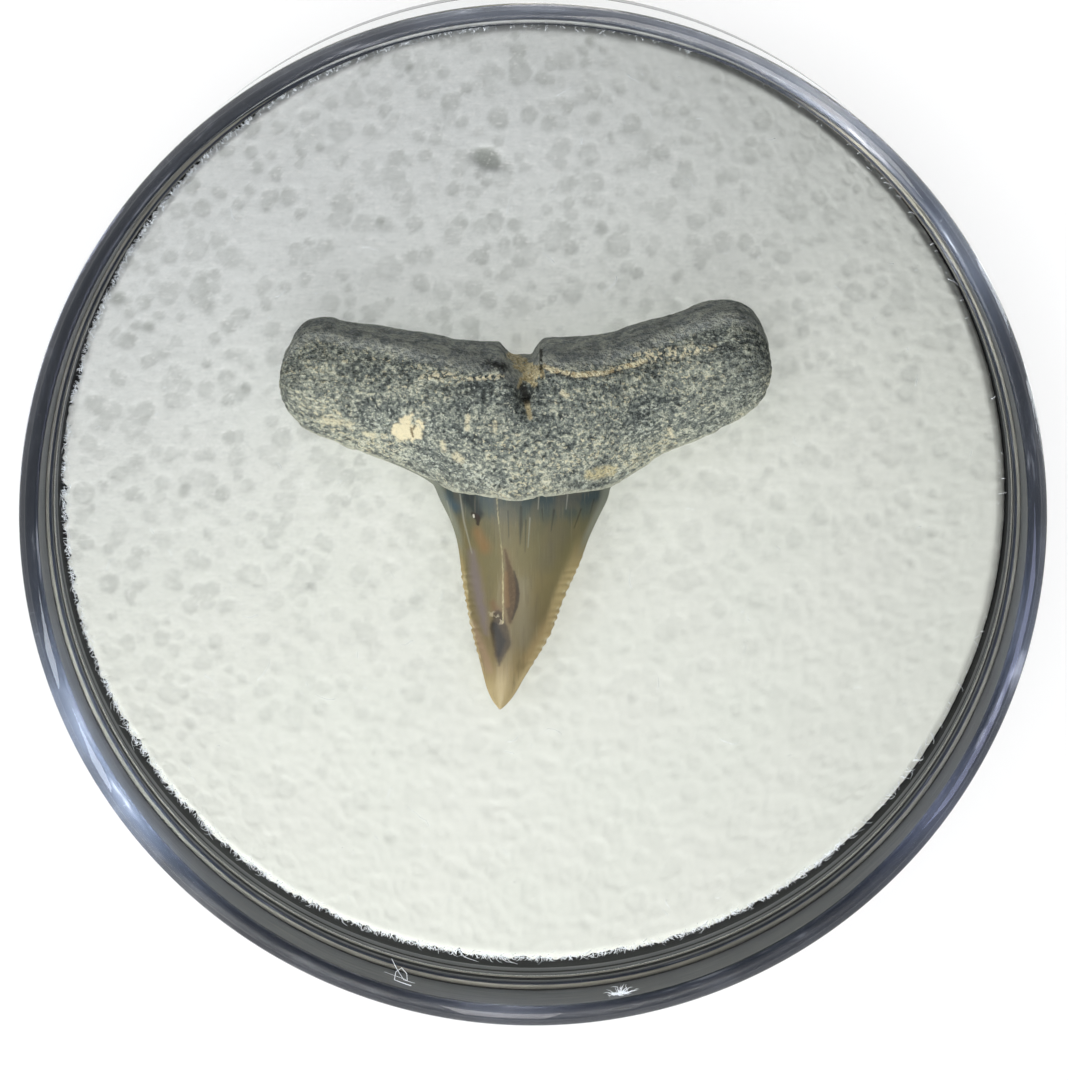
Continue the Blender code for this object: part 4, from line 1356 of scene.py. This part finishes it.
world = bpy.data.worlds.new("studio")
scene.world = world
world.use_nodes = True
nodes, links = world.node_tree.nodes, world.node_tree.links
back = nodes["Background"]
place = nodes.new("ShaderNodeTexCoord")
split = nodes.new("ShaderNodeSeparateXYZ")
links.new(place.outputs["Generated"], split.inputs[0])
fade = nodes.new("ShaderNodeValToRGB")
half = nodes.new("ShaderNodeMath")
half.operation = "MULTIPLY_ADD"
links.new(split.outputs["Z"], half.inputs[0])
half.inputs[1].default_value = half.inputs[2].default_value = 0.5
links.new(half.outputs[0], fade.inputs[0])
# pale at the horizon, dark straight above, where the lid would mirror it to the camera
sky = ((0.0, 0.12), (0.05, 0.13), (0.16, 0.42), (0.48, 0.62), (0.50, 1.01), (0.54, 1.00), (0.58, 0.36), (0.725, 0.30), (0.95, 0.30), (0.98, 0.03), (1.0, 0.02))
while len(fade.color_ramp.elements) < len(sky):
    fade.color_ramp.elements.new(0.5)
for k, (pos, c) in zip(fade.color_ramp.elements, sky):
    k.position = pos
    k.color = (c * 0.98, c * 0.99, c, 1)
# mirrors see, in place of the floor, a pale ground off beyond the jar and a dark one towards the front
side = nodes.new("ShaderNodeMapRange")
side.interpolation_type = "SMOOTHSTEP"
links.new(split.outputs["Y"], side.inputs["Value"])
side.inputs["From Min"].default_value, side.inputs["From Max"].default_value = -0.070, -0.040
below = nodes.new("ShaderNodeMapRange")
links.new(split.outputs["Z"], below.inputs["Value"])
below.inputs["From Min"].default_value, below.inputs["From Max"].default_value = -0.86, -0.94
both = nodes.new("ShaderNodeMath")
both.operation = "MULTIPLY"
links.new(side.outputs["Result"], both.inputs[0])
links.new(below.outputs["Result"], both.inputs[1])
ground = nodes.new("ShaderNodeMix")
ground.data_type = "RGBA"
links.new(both.outputs[0], ground.inputs[0])
links.new(fade.outputs[0], ground.inputs[6])
ground.inputs[7].default_value = (0.97, 0.98, 0.98, 1.0)
links.new(ground.outputs[2], back.inputs[0])
back.inputs[1].default_value = 1.0

camera = bpy.data.objects.new("camera", bpy.data.cameras.new("camera"))
camera.data.sensor_width = 36.0
camera.data.lens = F_PX * 36.0 / 1080.0
camera.data.clip_start, camera.data.clip_end = 0.01, 50.0
camera.location = EYE * MM
camera.rotation_euler = (-TILT, 0.0, 0.0)
scene.collection.objects.link(camera)
scene.camera = camera
scene.view_settings.view_transform = "Standard"
